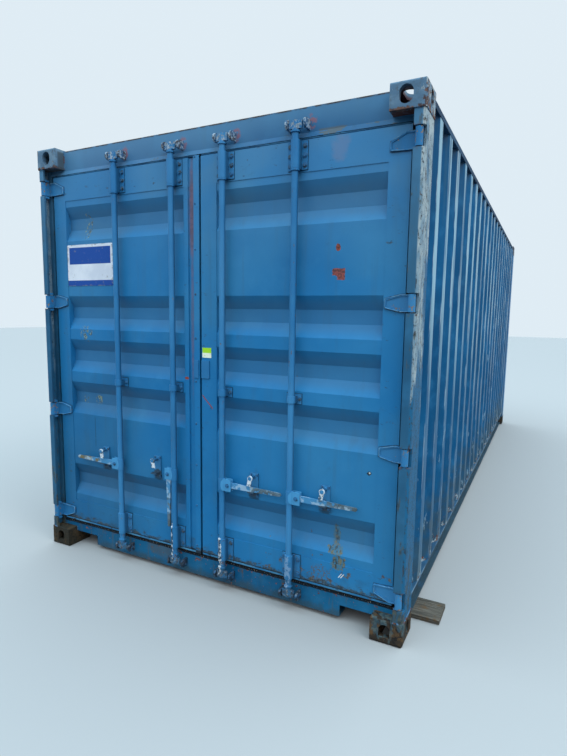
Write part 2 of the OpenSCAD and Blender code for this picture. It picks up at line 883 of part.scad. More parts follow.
module leaf_frame(side) {
  color(paint)
    on_side(side) {
      if (side == LEFT)
        block(strip_edge, strip_edge + strip_width, leaf_y - strip_thick, leaf_y, leaf_low, leaf_top + strip_rise);
      difference() {
        block(meeting_half_gap, leaf_hinge_x, leaf_y, leaf_back, leaf_low, leaf_top);
        block(panel_x0, panel_x1, leaf_y - over, leaf_back + over, panel_low, panel_top);
        block(panel_x0, panel_x1, leaf_y + leaf_plate, leaf_back + over, leaf_low + leaf_plate,
          panel_low - leaf_plate);
        block(panel_x0, panel_x1, leaf_y + leaf_plate, leaf_back + over, panel_top + leaf_plate,
          leaf_top - leaf_plate);
        if (side == LEFT)
          block(groove_near, groove_near + groove_width, leaf_y - over, leaf_y + groove_depth, leaf_low - over,
            leaf_top + over);
      }
    }
}

// One sheet pressed into five rows of recesses that run from stile to stile.
module leaf_panel(side) {
  half = recess_flat / 2;
  fold = half + recess_slope;
  front = concat(
    [[panel_y, panel_low]],
    [for (row = RECESS_ROWS)
      for (p = [[0, -fold], [recess_depth, -half], [recess_depth, half], [0, fold]])
        [panel_y + p[0], recess_middle + row * recess_pitch + p[1]]],
    [[panel_y, panel_top]]
  );
  last = len(front) - 1;
  color(paint)
    on_side(side)
      along_x(panel_x0, panel_x1)
        polygon(concat(front, [for (i = [last:-1:0]) [front[i][0] + sheet, front[i][1]]]));
}

module gasket(side) {
  near = meeting_half_gap - (side == RIGHT ? gasket_meeting_reach : 0);
  y1 = leaf_back - gasket_back;
  color(rubber)
    on_side(side)
      difference() {
        block(near, leaf_hinge_x + gasket_hinge_reach, y1 - gasket_thick, y1,
          leaf_low - gasket_reach, leaf_top + gasket_reach);
        block(meeting_half_gap, leaf_hinge_x, y1 - gasket_thick - over, y1 + over, leaf_low, leaf_top);
      }
}

// Outline of a blade seen from the door end, with the pin at x = 0 and the leaf towards -x.
module blade_outline(tip_mid, rim) {
  half = knuckle_height / 2 - rim;
  root = -blade_arm - blade_full;
  tip = -blade_length + rim;
  polygon([
    [knuckle / 2, -half], [knuckle / 2, half], [root, half],
    [tip, tip_mid + blade_tip / 2 - rim], [tip, tip_mid - blade_tip / 2 + rim], [root, -half]
  ]);
}

module hinge_blade(tip_mid) {
  face = leaf_y - hinge_y;
  difference() {
    union() {
      intersection() {
        along_y(0, face) blade_outline(tip_mid, 0);
        along_z(-knuckle_height / 2, knuckle_height / 2)
          polygon([
            [blade_overrun, 0], [blade_overrun, face], [-blade_length, face], [-blade_length, face - blade_thick],
            [-blade_arm, face - blade_thick], [-blade_arm, 0]
          ]);
      }
      cylinder(d = knuckle, h = knuckle_height, center = true);
    }
    cylinder(d = hinge_pin + 2 * hinge_fit, h = knuckle_height + 2 * over, center = true);
    intersection() {
      along_y(face - blade_thick - over, face - blade_thick + blade_field) blade_outline(tip_mid, blade_rim);
      block(-blade_length, -blade_arm - blade_rim, 0, face, -knuckle_height, knuckle_height);
    }
  }
}

module hinge_blades(side) {
  last = hinge_count - 1;
  color(paint_pale)
    on_side(side)
      for (i = [0:last])
        translate([hinge_x, hinge_y, HINGES[i]]) hinge_blade(i == 0 ? blade_lean : i == last ? -blade_lean : 0);
}

module bar_bracket(face, plate_width, plate_height, height) {
  difference() {
    union() {
      block(-plate_width / 2, plate_width / 2, face - bearing_plate, face, -plate_height / 2, plate_height / 2);
      block(-bearing_half, bearing_half, bar_y, face - bearing_plate, -height / 2, height / 2);
      translate([0, bar_y, 0]) cylinder(r = bearing_half, h = height, center = true);
    }
    translate([0, bar_y, 0]) cylinder(r = bar / 2 + bar_fit, h = height + 2 * over, center = true);
  }
}

module bar_brackets(side) {
  color(paint_pale)
    on_side(side)
      for (x = [bar_inner_x, bar_outer_x]) {
        translate([x, 0, bearing_top_z])
          bar_bracket(leaf_y, bearing_plate_width, bearing_top_height, bearing_top_height);
        translate([x, 0, guide_z])
          bar_bracket(panel_y, guide_plate_width, guide_plate_height, guide_height);
        translate([x, 0, bearing_low_z])
          bar_bracket(leaf_y, bearing_plate_width, bearing_low_height, bearing_low_height);
      }
}

// Height of the lower edge of a level handle at a distance from its pin, below the pin.
function handle_edge(x) =
  (handle_root / 2 - handle_edge_inset - x * sin(handle_slope)) / cos(handle_slope);

module retainer(offset) {
  inner = offset - handle_offset - shelf_width / 2;
  shelf_top = handle_z - handle_edge(inner) - seat_gap;
  block(-retainer_width / 2, retainer_width / 2, panel_y - retainer_plate, panel_y,
    handle_z - retainer_down, handle_z + retainer_up);
  block(-shelf_width / 2, shelf_width / 2, bar_y - handle_thick / 2 - shelf_reach, panel_y,
    shelf_top - retainer_plate, shelf_top);
  translate([0, 0, hasp_z])
    rotate([90, 0, 0]) {
      translate([0, 0, -panel_y]) cylinder(d = hasp_post, h = panel_y - hasp_back - hasp_play);
      translate([0, 0, -panel_y]) cylinder(d = hasp_pin, h = panel_y - hasp_front + hasp_play);
      translate([0, 0, hasp_play - hasp_front]) cylinder(d = hasp_head, h = hasp_head_thick);
    }
}

module retainers(side) {
  offset = side == RIGHT ? retainer_right : retainer_left;
  plate = side == RIGHT ? seal_plate_right : seal_plate_left;
  plate_back = side == RIGHT ? leaf_y : leaf_y - strip_thick;
  near = meeting_half_gap + seal_plate_edge;
  color(paint_pale)
    on_side(side) {
      for (x = [bar_inner_x, bar_outer_x]) translate([x + offset, 0, 0]) retainer(offset);
      block(near, near + plate, plate_back - seal_plate, plate_back,
        seal_plate_z - seal_plate_height / 2, seal_plate_z + seal_plate_height / 2);
    }
}

// A hasp hangs from its pin in front of the seated handle and swings aside to free it.
module hasp(side, x) {
  offset = side == RIGHT ? retainer_right : retainer_left;
  half = hasp_width / 2;
  end = -hasp_length;
  color(bare)
    on_side(side)
      translate([x + offset, 0, hasp_z])
        along_y(hasp_front, hasp_back)
          difference() {
            union() {
              circle(d = hasp_eye);
              polygon([[-half, 0], [-half - hasp_lean, end], [half - hasp_lean, end], [half, 0]]);
            }
            circle(d = hasp_pin + 2 * hasp_fit);
          }
}

// Lock bars and handles

module cam(z) {
  tip = cam_tip / 2;
  waist = cam_middle / 2;
  thick = cam_thick / 2;
  translate([0, bar_y, z])
    along_z(-cam_height / 2, cam_height / 2)
      polygon([
        [cam_reach, -tip], [cam_reach, tip], [waist, thick], [-waist, thick],
        [-cam_reach, tip], [-cam_reach, -tip], [-waist, -thick], [waist, -thick]
      ]);
}

module hub() {
  hub_end = handle_offset + hub_reach;
  translate([0, bar_y, handle_z]) {
    cylinder(d = hub_dia, h = hub_height, center = true);
    for (s = [-1, 1])
      translate([0, s * (cheek_y + hub_cheek / 2), 0])
        block(0, hub_end, -hub_cheek / 2, hub_cheek / 2, -hub_height / 2, hub_height / 2);
    translate([handle_offset, 0, 0])
      rotate([90, 0, 0])
        cylinder(d = handle_pin, h = 2 * (cheek_y + hub_cheek + handle_pin_end), center = true);
  }
}

module lock_bar(side, x) {
  color(paint)
    on_side(side)
      translate([x, 0, 0]) {
        translate([0, bar_y, cam_low_z - cam_height / 2])
          cylinder(d = bar, h = cam_top_z - cam_low_z + cam_height);
        cam(cam_low_z);
        cam(cam_top_z);
        hub();
        for (z = [collar_low_z, bearing_low_z + bearing_low_height / 2 + collar_gap + collar / 2,
            bearing_top_z - bearing_top_height / 2 - collar_gap - collar / 2, collar_top_z])
          translate([0, bar_y, z]) cylinder(d = collar_dia, h = collar, center = true);
      }
}

module handle_shape() {
  root = handle_root / 2 - handle_edge_inset;
  grip = handle_grip / 2 - handle_edge_inset;
  c = cos(handle_slope);
  t = sin(handle_slope);
  color(bare)
    along_y(-handle_thick / 2, handle_thick / 2)
      difference() {
        union() {
          circle(d = handle_root);
          polygon([
            [root * t, -root * c], [handle_run + grip * t, -grip * c],
            [handle_run + grip * t, grip * c], [root * t, root * c]
          ]);
          translate([handle_run, 0]) circle(d = handle_grip);
        }
        circle(d = handle_pin + 2 * handle_fit);
      }
}

module handle(side, x, hang) {
  on_side(side) translate([x + handle_offset, bar_y, handle_z]) rotate([0, hang, 0]) handle_shape();
}

casting(LEFT, DOOR, LOW);  // casting_low_door_left
casting(RIGHT, DOOR, LOW);  // casting_low_door_right
casting(LEFT, REAR, LOW);  // casting_low_rear_left
casting(RIGHT, REAR, LOW);  // casting_low_rear_right
casting(LEFT, DOOR, TOP);  // casting_top_door_left
casting(RIGHT, DOOR, TOP);  // casting_top_door_right
casting(LEFT, REAR, TOP);  // casting_top_rear_left
casting(RIGHT, REAR, TOP);  // casting_top_rear_right
post_door(LEFT);  // post_door_left
post_door(RIGHT);  // post_door_right
post_rear(LEFT);  // post_rear_left
post_rear(RIGHT);  // post_rear_right
door_header();
door_sill();
rear_header();
rear_sill();
top_rail(LEFT);  // top_rail_left
top_rail(RIGHT);  // top_rail_right
bottom_rail(LEFT);  // bottom_rail_left
bottom_rail(RIGHT);  // bottom_rail_right
side_wall(LEFT);  // side_wall_left
side_wall(RIGHT);  // side_wall_right
end_wall();
roof();
floor_boards();  // floor
cross_members();
keepers(keeper_top_z);  // keepers_top
keepers(keeper_low_z);  // keepers_low
hinge_pins(LEFT);  // hinge_pins_left
hinge_pins(RIGHT);  // hinge_pins_right
timber_boards();
leaf_frame(LEFT);  // left_leaf_frame
leaf_panel(LEFT);  // left_leaf_panel
gasket(LEFT);  // left_gasket
hinge_blades(LEFT);  // left_hinge_blades
bar_brackets(LEFT);  // left_bar_brackets
retainers(LEFT);  // left_retainers
leaf_frame(RIGHT);  // right_leaf_frame
leaf_panel(RIGHT);  // right_leaf_panel
gasket(RIGHT);  // right_gasket
hinge_blades(RIGHT);  // right_hinge_blades
bar_brackets(RIGHT);  // right_bar_brackets
retainers(RIGHT);  // right_retainers
lock_bar(LEFT, bar_outer_x);  // lock_bar_1
lock_bar(LEFT, bar_inner_x);  // lock_bar_2
lock_bar(RIGHT, bar_inner_x);  // lock_bar_3
lock_bar(RIGHT, bar_outer_x);  // lock_bar_4
handle(LEFT, bar_outer_x, 0);  // handle_1
handle(LEFT, bar_inner_x, 90);  // handle_2
handle(RIGHT, bar_inner_x, 0);  // handle_3
handle(RIGHT, bar_outer_x, 0);  // handle_4
hasp(LEFT, bar_outer_x);  // hasp_1
hasp(LEFT, bar_inner_x);  // hasp_2
hasp(RIGHT, bar_inner_x);  // hasp_3
hasp(RIGHT, bar_outer_x);  // hasp_4
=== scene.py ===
import bmesh
import bpy
from mathutils import Matrix, Vector, noise


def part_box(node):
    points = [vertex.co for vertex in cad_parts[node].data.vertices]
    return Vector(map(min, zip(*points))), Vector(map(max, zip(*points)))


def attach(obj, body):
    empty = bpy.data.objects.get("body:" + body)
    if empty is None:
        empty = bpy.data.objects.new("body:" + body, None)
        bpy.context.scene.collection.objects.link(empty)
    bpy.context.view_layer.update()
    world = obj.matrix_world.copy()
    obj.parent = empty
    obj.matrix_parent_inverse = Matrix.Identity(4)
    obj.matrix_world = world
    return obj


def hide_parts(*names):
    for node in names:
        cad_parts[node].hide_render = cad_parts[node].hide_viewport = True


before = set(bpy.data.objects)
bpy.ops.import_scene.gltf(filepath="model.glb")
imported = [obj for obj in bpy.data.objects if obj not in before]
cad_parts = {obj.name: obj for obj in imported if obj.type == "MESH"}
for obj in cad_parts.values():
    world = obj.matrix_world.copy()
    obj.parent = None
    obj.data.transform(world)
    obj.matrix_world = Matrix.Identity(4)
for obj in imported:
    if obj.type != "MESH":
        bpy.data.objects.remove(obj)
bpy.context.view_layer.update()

# The view: a wide lens held at head height beyond the right-hand front corner, turned to
# the doors and tipped a little downwards.
camera_data = bpy.data.cameras.new("view")
SENSOR = 36.0
FRAME_HEIGHT = 756.0  # pixels, the longer side of the frame
FOCAL_PIXELS = 514.0
camera_data.sensor_width = SENSOR
camera_data.lens = FOCAL_PIXELS * SENSOR / FRAME_HEIGHT
camera_data.clip_end = 200.0
camera = bpy.data.objects.new("view", camera_data)
bpy.context.scene.collection.objects.link(camera)
forward = Vector((-0.45178, 0.88333, -0.12501)).normalized()
down = Vector((0.06993, -0.10463, -0.99205))
right = forward.cross(-down).normalized()
up = right.cross(forward).normalized()
turn = Matrix((right, up, -forward)).transposed().to_4x4()
eye = Vector((1.73931, -5.33163, 1.59552))
camera.matrix_world = Matrix.Translation(eye) @ turn
bpy.context.scene.camera = camera

# The light: a hazy sky, brightest overhead, and one large soft lamp high on the right that
# rakes along the side wall and leaves the door end in open shade.
bpy.context.scene.view_settings.view_transform = "Standard"
world = bpy.data.worlds.new("sky")
bpy.context.scene.world = world
world.use_nodes = True
sky = world.node_tree
sky_light = sky.nodes["Background"]
direction = sky.nodes.new("ShaderNodeTexCoord")
height_of = sky.nodes.new("ShaderNodeSeparateXYZ")
sky.links.new(direction.outputs["Generated"], height_of.inputs[0])
climb = sky.nodes.new("ShaderNodeMapRange")
for limit, value in (("From Min", 0.0), ("From Max", 0.9), ("To Min", 0.41), ("To Max", 3.25)):
    climb.inputs[limit].default_value = value
sky.links.new(height_of.outputs["Z"], climb.inputs["Value"])
sky.links.new(climb.outputs["Result"], sky_light.inputs["Strength"])
AT_HORIZON = (1.08, 0.97, 0.95, 1.0)
OVERHEAD = (0.68, 0.97, 1.12, 1.0)
tint = sky.nodes.new("ShaderNodeMix")
tint.data_type = "RGBA"
tint.inputs[6].default_value = AT_HORIZON
tint.inputs[7].default_value = OVERHEAD
sky.links.new(height_of.outputs["Z"], tint.inputs[0])
sky.links.new(tint.outputs[2], sky_light.inputs["Color"])

# What the eye, metal and glass see behind the object is one pale tone.
sky_seen = sky.nodes.new("ShaderNodeBackground")
sky_seen.inputs["Color"].default_value = (0.74, 0.84, 0.91, 1.0)
sky_seen.inputs["Strength"].default_value = 1.0
rays = sky.nodes.new("ShaderNodeLightPath")
seen = rays.outputs["Is Camera Ray"]
for kind in ("Is Glossy Ray", "Is Transmission Ray"):
    either = sky.nodes.new("ShaderNodeMath")
    either.operation = "MAXIMUM"
    sky.links.new(seen, either.inputs[0])
    sky.links.new(rays.outputs[kind], either.inputs[1])
    seen = either.outputs[0]
choose = sky.nodes.new("ShaderNodeMixShader")
sky.links.new(seen, choose.inputs[0])
sky.links.new(sky_light.outputs[0], choose.inputs[1])
sky.links.new(sky_seen.outputs[0], choose.inputs[2])
sky.links.new(choose.outputs[0], sky.nodes["World Output"].inputs["Surface"])

key_data = bpy.data.lights.new("key", "AREA")
key_data.shape = "DISK"
key_data.size = 5.0
key_data.energy = 420.0
key_data.color = (1.0, 0.98, 0.94)
key = bpy.data.objects.new("key", key_data)
bpy.context.scene.collection.objects.link(key)
key.location = (8.0, -5.0, 10.0)
lit_middle = Vector((0.0, -1.5, 1.0))
key.rotation_euler = (lit_middle - key.location).to_track_quat("-Z", "Y").to_euler()


# The corner castings are cast steel boxes welded to the ends of the posts. The top ones
# keep blue-grey paint with rust along their edges, the low ones are nearly bare rust.
class Wire:
    """A socket of a material's node tree that takes part in arithmetic."""

    def __init__(self, tree, socket):
        self.tree, self.socket = tree, socket

    def node(self, kind, settings=(), sockets=(), out=0):
        """Adds a node: its settings first, then the values or links of its sockets."""
        made = self.tree.nodes.new("ShaderNode" + kind)
        for name, value in dict(settings).items():
            setattr(made, name, value)
        for name, value in dict(sockets).items():
            if isinstance(value, Wire):
                self.tree.links.new(value.socket, made.inputs[name])
            else:
                made.inputs[name].default_value = value
        return Wire(self.tree, made.outputs[out])

    def maths(self, operation, *values):
        return self.node("Math", {"operation": operation}, enumerate(values))

    def __add__(self, other):
        return self.maths("ADD", self, other)

    def __sub__(self, other):
        return self.maths("SUBTRACT", self, other)

    def __rsub__(self, other):
        return self.maths("SUBTRACT", other, self)

    def __mul__(self, other):
        return self.maths("MULTIPLY", self, other)

    def __or__(self, other):
        return self.maths("MAXIMUM", self, other)

    __radd__ = __add__
    __rmul__ = __mul__

    def ramp(self, low, high):
        """0 below low, 1 above high, smooth between; low above high turns it round."""
        flip = low > high
        limits = {"Value": self, "From Min": min(low, high), "From Max": max(low, high)}
        if flip:
            limits.update({"To Min": 1.0, "To Max": 0.0})
        return self.node("MapRange", {"interpolation_type": "SMOOTHSTEP"}, limits)

    def clouds(self, size, detail=4.0, rough=0.55, stretch=(1.0, 1.0, 1.0)):
        """Noise with features of about this size in metres, longer along a stretched axis."""
        squeeze = tuple(1.0 / s for s in stretch)
        place = self.node("VectorMath", {"operation": "MULTIPLY"}, {0: self, 1: squeeze})
        values = {"Vector": place, "Scale": 1.0 / size, "Detail": detail, "Roughness": rough}
        return self.node("TexNoise", {}, values)


def tone(red, green, blue):
    """A colour given as 0 to 255, as a painter's card is read, in the renderer's own scale."""
    parts = (c / 255.0 for c in (red, green, blue))
    return tuple(((c + 0.055) / 1.055) ** 2.4 if c > 10.1 / 255.0 else c / 12.92 for c in parts) + (1.0,)


def cover(below, above, mask):
    """Lays one colour over another where the mask is 1."""
    source = mask if isinstance(mask, Wire) else below
    return source.node("Mix", {"data_type": "RGBA"}, {0: mask, 6: below, 7: above}, out=2)


def mottle(place, one, other, size, limits=(0.4, 0.6), detail=4.0):
    """Two colours in soft patches of about this size in metres."""
    return cover(one, other, place.clouds(size, detail).ramp(*limits))


def start_look(name):
    """A new material, with its places in metres as one vector and as X, Y and Z."""
    look = bpy.data.materials.new(name)
    look.use_nodes = True
    tree = look.node_tree
    place = Wire(tree, tree.nodes.new("ShaderNodeTexCoord").outputs["Object"])
    return look, place, *(place.node("SeparateXYZ", {}, {"Vector": place}, out=i) for i in range(3))


def end_look(look, colour, rough, height=None, depth=0.001, metal=0.0, gloss=0.15):
    """Feeds the shader of a material; height is a bump of the given depth in metres."""
    tree = look.node_tree
    shader = tree.nodes["Principled BSDF"]
    shader.inputs["Specular IOR Level"].default_value = gloss
    for name, value in (("Base Color", colour), ("Roughness", rough), ("Metallic", metal)):
        if isinstance(value, Wire):
            tree.links.new(value.socket, shader.inputs[name])
        else:
            shader.inputs[name].default_value = value
    if height is not None:
        bump = height.node("Bump", {}, {"Height": height, "Distance": depth, "Strength": 1.0})
        tree.links.new(bump.socket, shader.inputs["Normal"])


def wear(look, *nodes):
    """Puts a material on CAD nodes."""
    for name in nodes:
        for slot in bpy.data.objects[name].material_slots:
            slot.material = look


RUST = tone(92, 50, 30)
RUST_PALE = tone(150, 92, 58)
RUST_DARK = tone(46, 29, 24)

look, place, x, y, z = start_look("casting_top_paint")
shade = place.clouds(0.09).ramp(0.35, 0.65)
skin = cover(tone(76, 108, 134), tone(104, 132, 152), shade)
skin = cover(skin, tone(70, 84, 92), place.clouds(0.03, 5.0, 0.65).ramp(0.50, 0.70) * 0.6)
wide = x.maths("ABSOLUTE", x)
outer = z.ramp(2.492, 2.474) * 0.75 | wide.ramp(1.192, 1.212) * 0.55
worn = (place.clouds(0.030, 6.0, 0.65) + outer * 0.30).ramp(0.62, 0.70)
skin = cover(skin, mottle(place, tone(104, 74, 58), tone(66, 48, 44), 0.02), worn * 0.9)
bright = (place.clouds(0.014, 5.0, 0.6, (1.0, 1.0, 3.0)) + wide.ramp(1.206, 1.218) * 0.12).ramp(0.66, 0.70)
skin = cover(skin, tone(150, 162, 166), bright)
inside = y.maths("ABSOLUTE", y).ramp(3.010, 2.995) * wide.ramp(1.200, 1.185)
hollow_tone = cover(tone(60, 72, 80), tone(84, 52, 50), x.ramp(-0.5, 0.5))
skin = cover(skin, hollow_tone, inside * z.ramp(2.582, 2.570) * 0.85)
height = place.clouds(0.006, 3.0) + worn * -0.6 + place.clouds(0.04) * 1.5
end_look(look, skin, 0.55 + worn * 0.3, height, 0.0012)
CORNERS = [(end, side) for end in ("door", "rear") for side in ("left", "right")]
wear(look, *("casting_top_%s_%s" % corner for corner in CORNERS))

look, place, x, y, z = start_look("casting_low_rust")
brown = mottle(place, tone(52, 46, 40), tone(92, 72, 50), 0.05, (0.40, 0.62))
brown = cover(brown, tone(34, 34, 34), place.clouds(0.014, 5.0).ramp(0.5, 0.62))
left_over = (place.clouds(0.04, 6.0, 0.6, (1.0, 1.0, 2.5)) + z.ramp(0.0, 0.118) * 0.13).ramp(0.60, 0.68)
paint_left = mottle(place, tone(46, 76, 90), tone(82, 100, 102), 0.02)
skin = cover(brown, paint_left, left_over * x.ramp(-1.6, 0.9) * 0.75)
# Painted shade: darker at the very foot where the casting meets the ground, and darker olive on the
# left-hand castings.
skin = cover(skin, tone(30, 29, 28), z.ramp(0.03, 0.0) * 0.6)
skin = cover(skin, tone(44, 45, 38), x.ramp(0.4, -1.0) * 0.60)
height = place.clouds(0.004, 3.0) + left_over * 0.8 + place.clouds(0.03) * 2.0
end_look(look, skin, 0.85, height, 0.0014)
wear(look, *("casting_low_%s_%s" % corner for corner in CORNERS))


# The frame is welded from pressed and rolled steel: header, sill, rails and rear posts. Its
# blue paint has gone chalky, paler to the top, and is chipped along the edges.
def old_paint(place, z, deep, pale, top, foot):
    """Chalky paint between two blues, paler across the levels top, dirty below the level foot."""
    colour = mottle(place, deep, pale, 0.55, (0.3, 0.7), 3.0)
    colour = cover(colour, tone(58, 130, 176), place.clouds(0.12, 5.0).ramp(0.45, 0.8) * 0.30)
    runs = place.clouds(0.05, 4.0, 0.6, (1.0, 1.0, 14.0)).ramp(0.5, 0.75)
    colour = cover(colour, tone(58, 92, 110), runs * 0.28)
    if top:
        colour = cover(colour, tone(88, 138, 172), z.ramp(*top) * 0.45)
    grime = (place.clouds(0.07, 5.0, 0.6) + z.ramp(foot, 0.0) * 0.5).ramp(0.60, 0.95)
    return cover(colour, tone(52, 66, 66), grime * 0.6)


def chips(place, size, amount):
    """Small ragged chips: the higher the amount, the more of the surface they take."""
    return (place.clouds(size, 7.0, 0.68) + amount).ramp(0.70, 0.72)


def spot(place, x, z, middle, size, ragged=0.5, grain=0.02, fade=0.1):
    """A ragged patch round a point of the door end, sizes in metres; fade softens its edge."""
    across = (x - middle[0]) * (1.0 / size[0])
    rise = (z - middle[1]) * (1.0 / size[1])
    reach = across * across + rise * rise + (place.clouds(grain, 5.0, 0.6) - 0.5) * (ragged * 4.0)
    return reach.ramp(0.95 + fade, 0.95 - fade)


look, place, x, y, z = start_look("frame_blue")
skin = old_paint(place, z, tone(34, 94, 140), tone(46, 110, 156), (2.2, 2.6), 0.45)
lost = chips(place, 0.05, z.ramp(0.30, 0.16) * 0.10 - 0.01)
skin = cover(skin, mottle(place, RUST, RUST_PALE, 0.012), lost)
height = place.clouds(0.003, 2.0) * 0.4 + lost * -0.5 + place.clouds(0.5, 2.0) * 6.0
end_look(look, skin, 0.42 + lost * 0.4, height, 0.0008)
wear(look, "rear_header", "rear_sill", "post_rear_left", "post_rear_right")

look, place, x, y, z = start_look("top_rail_blue")
# The rail's dark blues are painted shade: they stand in for the shade its face lies in.
along_rail = place.clouds(0.20, 5.0, 0.6, (1.0, 6.0, 1.0)).ramp(0.40, 0.65)
skin = cover(tone(18, 48, 74), tone(34, 74, 106), along_rail)
lost = chips(place, 0.04, -0.01)
skin = cover(skin, mottle(place, RUST, RUST_DARK, 0.012), lost)
end_look(look, skin, 0.6, place.clouds(0.003, 2.0) * 0.4 + lost * -0.5, 0.0008, gloss=0.08)
wear(look, "top_rail_left", "top_rail_right")

look, place, x, y, z = start_look("bottom_rail_blue")
skin = old_paint(place, z, tone(30, 62, 90), tone(40, 78, 106), None, 0.2)
lip = x.maths("ABSOLUTE", x).ramp(1.2060, 1.2100)
# Paler along the outer lip: rubbed paint and a painted highlight.
worn_and_highlit = place.clouds(0.06, 5.0, 0.6, (1.0, 6.0, 1.0)).ramp(0.35, 0.60)
skin = cover(skin, tone(104, 130, 150), lip * worn_and_highlit * 0.8)
lost = chips(place, 0.03, lip * 0.06)
skin = cover(skin, mottle(place, RUST, RUST_DARK, 0.012), lost)
end_look(look, skin, 0.5 + lost * 0.4, place.clouds(0.003, 2.0) * 0.4 + lost * -0.5, 0.0008)
wear(look, "bottom_rail_left", "bottom_rail_right")

look, place, x, y, z = start_look("header_blue")
skin = old_paint(place, z, tone(38, 90, 132), tone(54, 104, 142), (2.44, 2.6), 0.1)
skin = cover(skin, tone(96, 138, 172), x.ramp(1.0, -1.0) * 0.30)
smear = place.clouds(0.02, 5.0).ramp(0.40, 0.50)
RED_SMEARS = ((-0.545, 2.512), (-0.120, 2.512), (0.225, 2.510), (0.655, 2.516))
for middle in RED_SMEARS:
    smear_here = spot(place, x, z, middle, (0.026, 0.036), 0.3, 0.03, 0.6)
    skin = cover(skin, tone(138, 84, 86), smear_here * smear * 0.7)
scraped = spot(place, x, z, (0.76, 2.468), (0.07, 0.03), 0.5) * 0.2
lip_wear = (place.clouds(0.02, 6.0, 0.65, (5.0, 1.0, 1.0)) + scraped).ramp(0.60, 0.66)
lip_wear = z.ramp(2.480, 2.468) * lip_wear
skin = cover(skin, tone(84, 92, 92), lip_wear * 0.8)
rim = z.ramp(2.574, 2.582) * place.clouds(0.05, 5.0).ramp(0.35, 0.55)
skin = cover(skin, tone(60, 54, 52), rim)
height = place.clouds(0.003, 2.0) * 0.4 + place.clouds(0.4, 2.0) * 8.0
end_look(look, skin, 0.45 + lip_wear * 0.3, height, 0.0008)
wear(look, "door_header")

look, place, x, y, z = start_look("sill_blue")
skin = old_paint(place, z, tone(10, 78, 118), tone(22, 94, 134), None, 0.12)
pits = (place.clouds(0.022, 6.0, 0.7) + z.ramp(0.08, 0.158) * 0.07).ramp(0.64, 0.67)
skin = cover(skin, mottle(place, RUST, RUST_PALE, 0.01), pits)
runs = place.clouds(0.03, 4.0, 0.6, (1.0, 1.0, 8.0)).ramp(0.55, 0.68)
grey_patch = spot(place, x, z, (-0.32, 0.12), (0.10, 0.05), 0.9, 0.03, 0.6)
skin = cover(skin, tone(84, 80, 60), (runs | grey_patch) * 0.45)
# A painted shadow: a near-black band along the top of the sill, where the gap under the doors is in shade.
shadow_under_door = (place.clouds(0.02, 5.0, 0.6, (4.0, 1.0, 1.0)) * 0.012 + z).ramp(0.1470, 0.1500)
skin = cover(skin, tone(16, 22, 28), shadow_under_door * 0.95)
grit = (place.clouds(0.006, 3.0) + z.ramp(0.140, 0.150) * 0.10).ramp(0.72, 0.74)
skin = cover(skin, tone(168, 162, 150), grit)
end_look(look, skin, 0.5 + pits * 0.35, place.clouds(0.003, 2.0) * 0.4 + pits * -0.8, 0.0010)
wear(look, "door_sill")

# The door posts are rolled from thick plate. Their front flange is still blue, their outer
# side has chalked white and flaked in long vertical scars down to dark steel.
look, place, x, y, z = start_look("door_post_paint")
front = old_paint(place, z, tone(26, 78, 112), tone(42, 92, 124), (1.6, 2.6), 0.5)
speckle = place.clouds(0.011, 6.0, 0.70, (1.0, 1.0, 1.8))
scars = place.clouds(0.020, 6.0, 0.66, (1.0, 1.0, 6.0))
streaks = place.clouds(0.05, 5.0, 0.6, (1.0, 1.0, 3.0)).ramp(0.35, 0.62)
chalk = cover(tone(96, 128, 148), tone(150, 166, 172), streaks)
still_blue = (place.clouds(0.10, 6.0, 0.6, (1.0, 1.0, 4.0)) + z.ramp(1.9, 0.4) * 0.36).ramp(0.52, 0.66)
chalk = cover(chalk, tone(28, 92, 130), still_blue)
# Painted shade: darker along the inner edge of the front flange, in the gap beside the leaf.
front = cover(front, tone(30, 44, 54), x.maths("ABSOLUTE", x).ramp(1.172, 1.156) * 0.75)
dirty_runs = place.clouds(0.016, 5.0, 0.62, (1.0, 1.0, 9.0)).ramp(0.60, 0.68)
front = cover(front, tone(86, 82, 70), dirty_runs * 0.55)
lost = speckle.ramp(0.560, 0.590) | scars.ramp(0.600, 0.630)
chalk = cover(chalk, mottle(place, tone(50, 58, 66), tone(92, 64, 50), 0.03, (0.5, 0.7)), lost * 0.9)
on_side_face = x.maths("ABSOLUTE", x).ramp(1.2015, 1.2070)
skin = cover(front, chalk, on_side_face)
near_hinge = y.ramp(-2.986, -3.020)
# The level of each hinge, and how far the tip of its blade lies above that.
HINGES = ((0.228, 0.014), (0.938, 0.0), (1.648, 0.0), (2.358, -0.014))
for level, _ in HINGES:
    off = (z - level) * 13.0
    dirty = (off * off + place.clouds(0.03, 5.0) * 1.4).ramp(1.20, 0.75) * near_hinge
    skin = cover(skin, mottle(place, tone(86, 60, 46), RUST_DARK, 0.015), dirty * 0.75)
foot = (place.clouds(0.04, 6.0, 0.62, (1.0, 1.0, 3.0)) + z.ramp(0.7, 0.1) * 0.12).ramp(0.62, 0.68)
skin = cover(skin, mottle(place, tone(84, 84, 66), tone(52, 52, 44), 0.02), foot * 0.7)
end_look(look, skin, 0.6, place.clouds(0.003, 2.0) * 0.4 + lost * on_side_face * -1.0, 0.0010)
wear(look, "post_door_left", "post_door_right")


# Side walls, end wall and roof are thin sheets pressed into corrugations and welded all
# round. They carry dents, grime that runs down from the rail and chips along the foot.
# Their crests carry painted highlights, and the valleys under the top rail a painted shadow.
look, place, x, y, z = start_look("wall_blue")
skin = old_paint(place, z, tone(0, 66, 106), tone(2, 80, 124), None, 0.9)
wide = x.maths("ABSOLUTE", x)
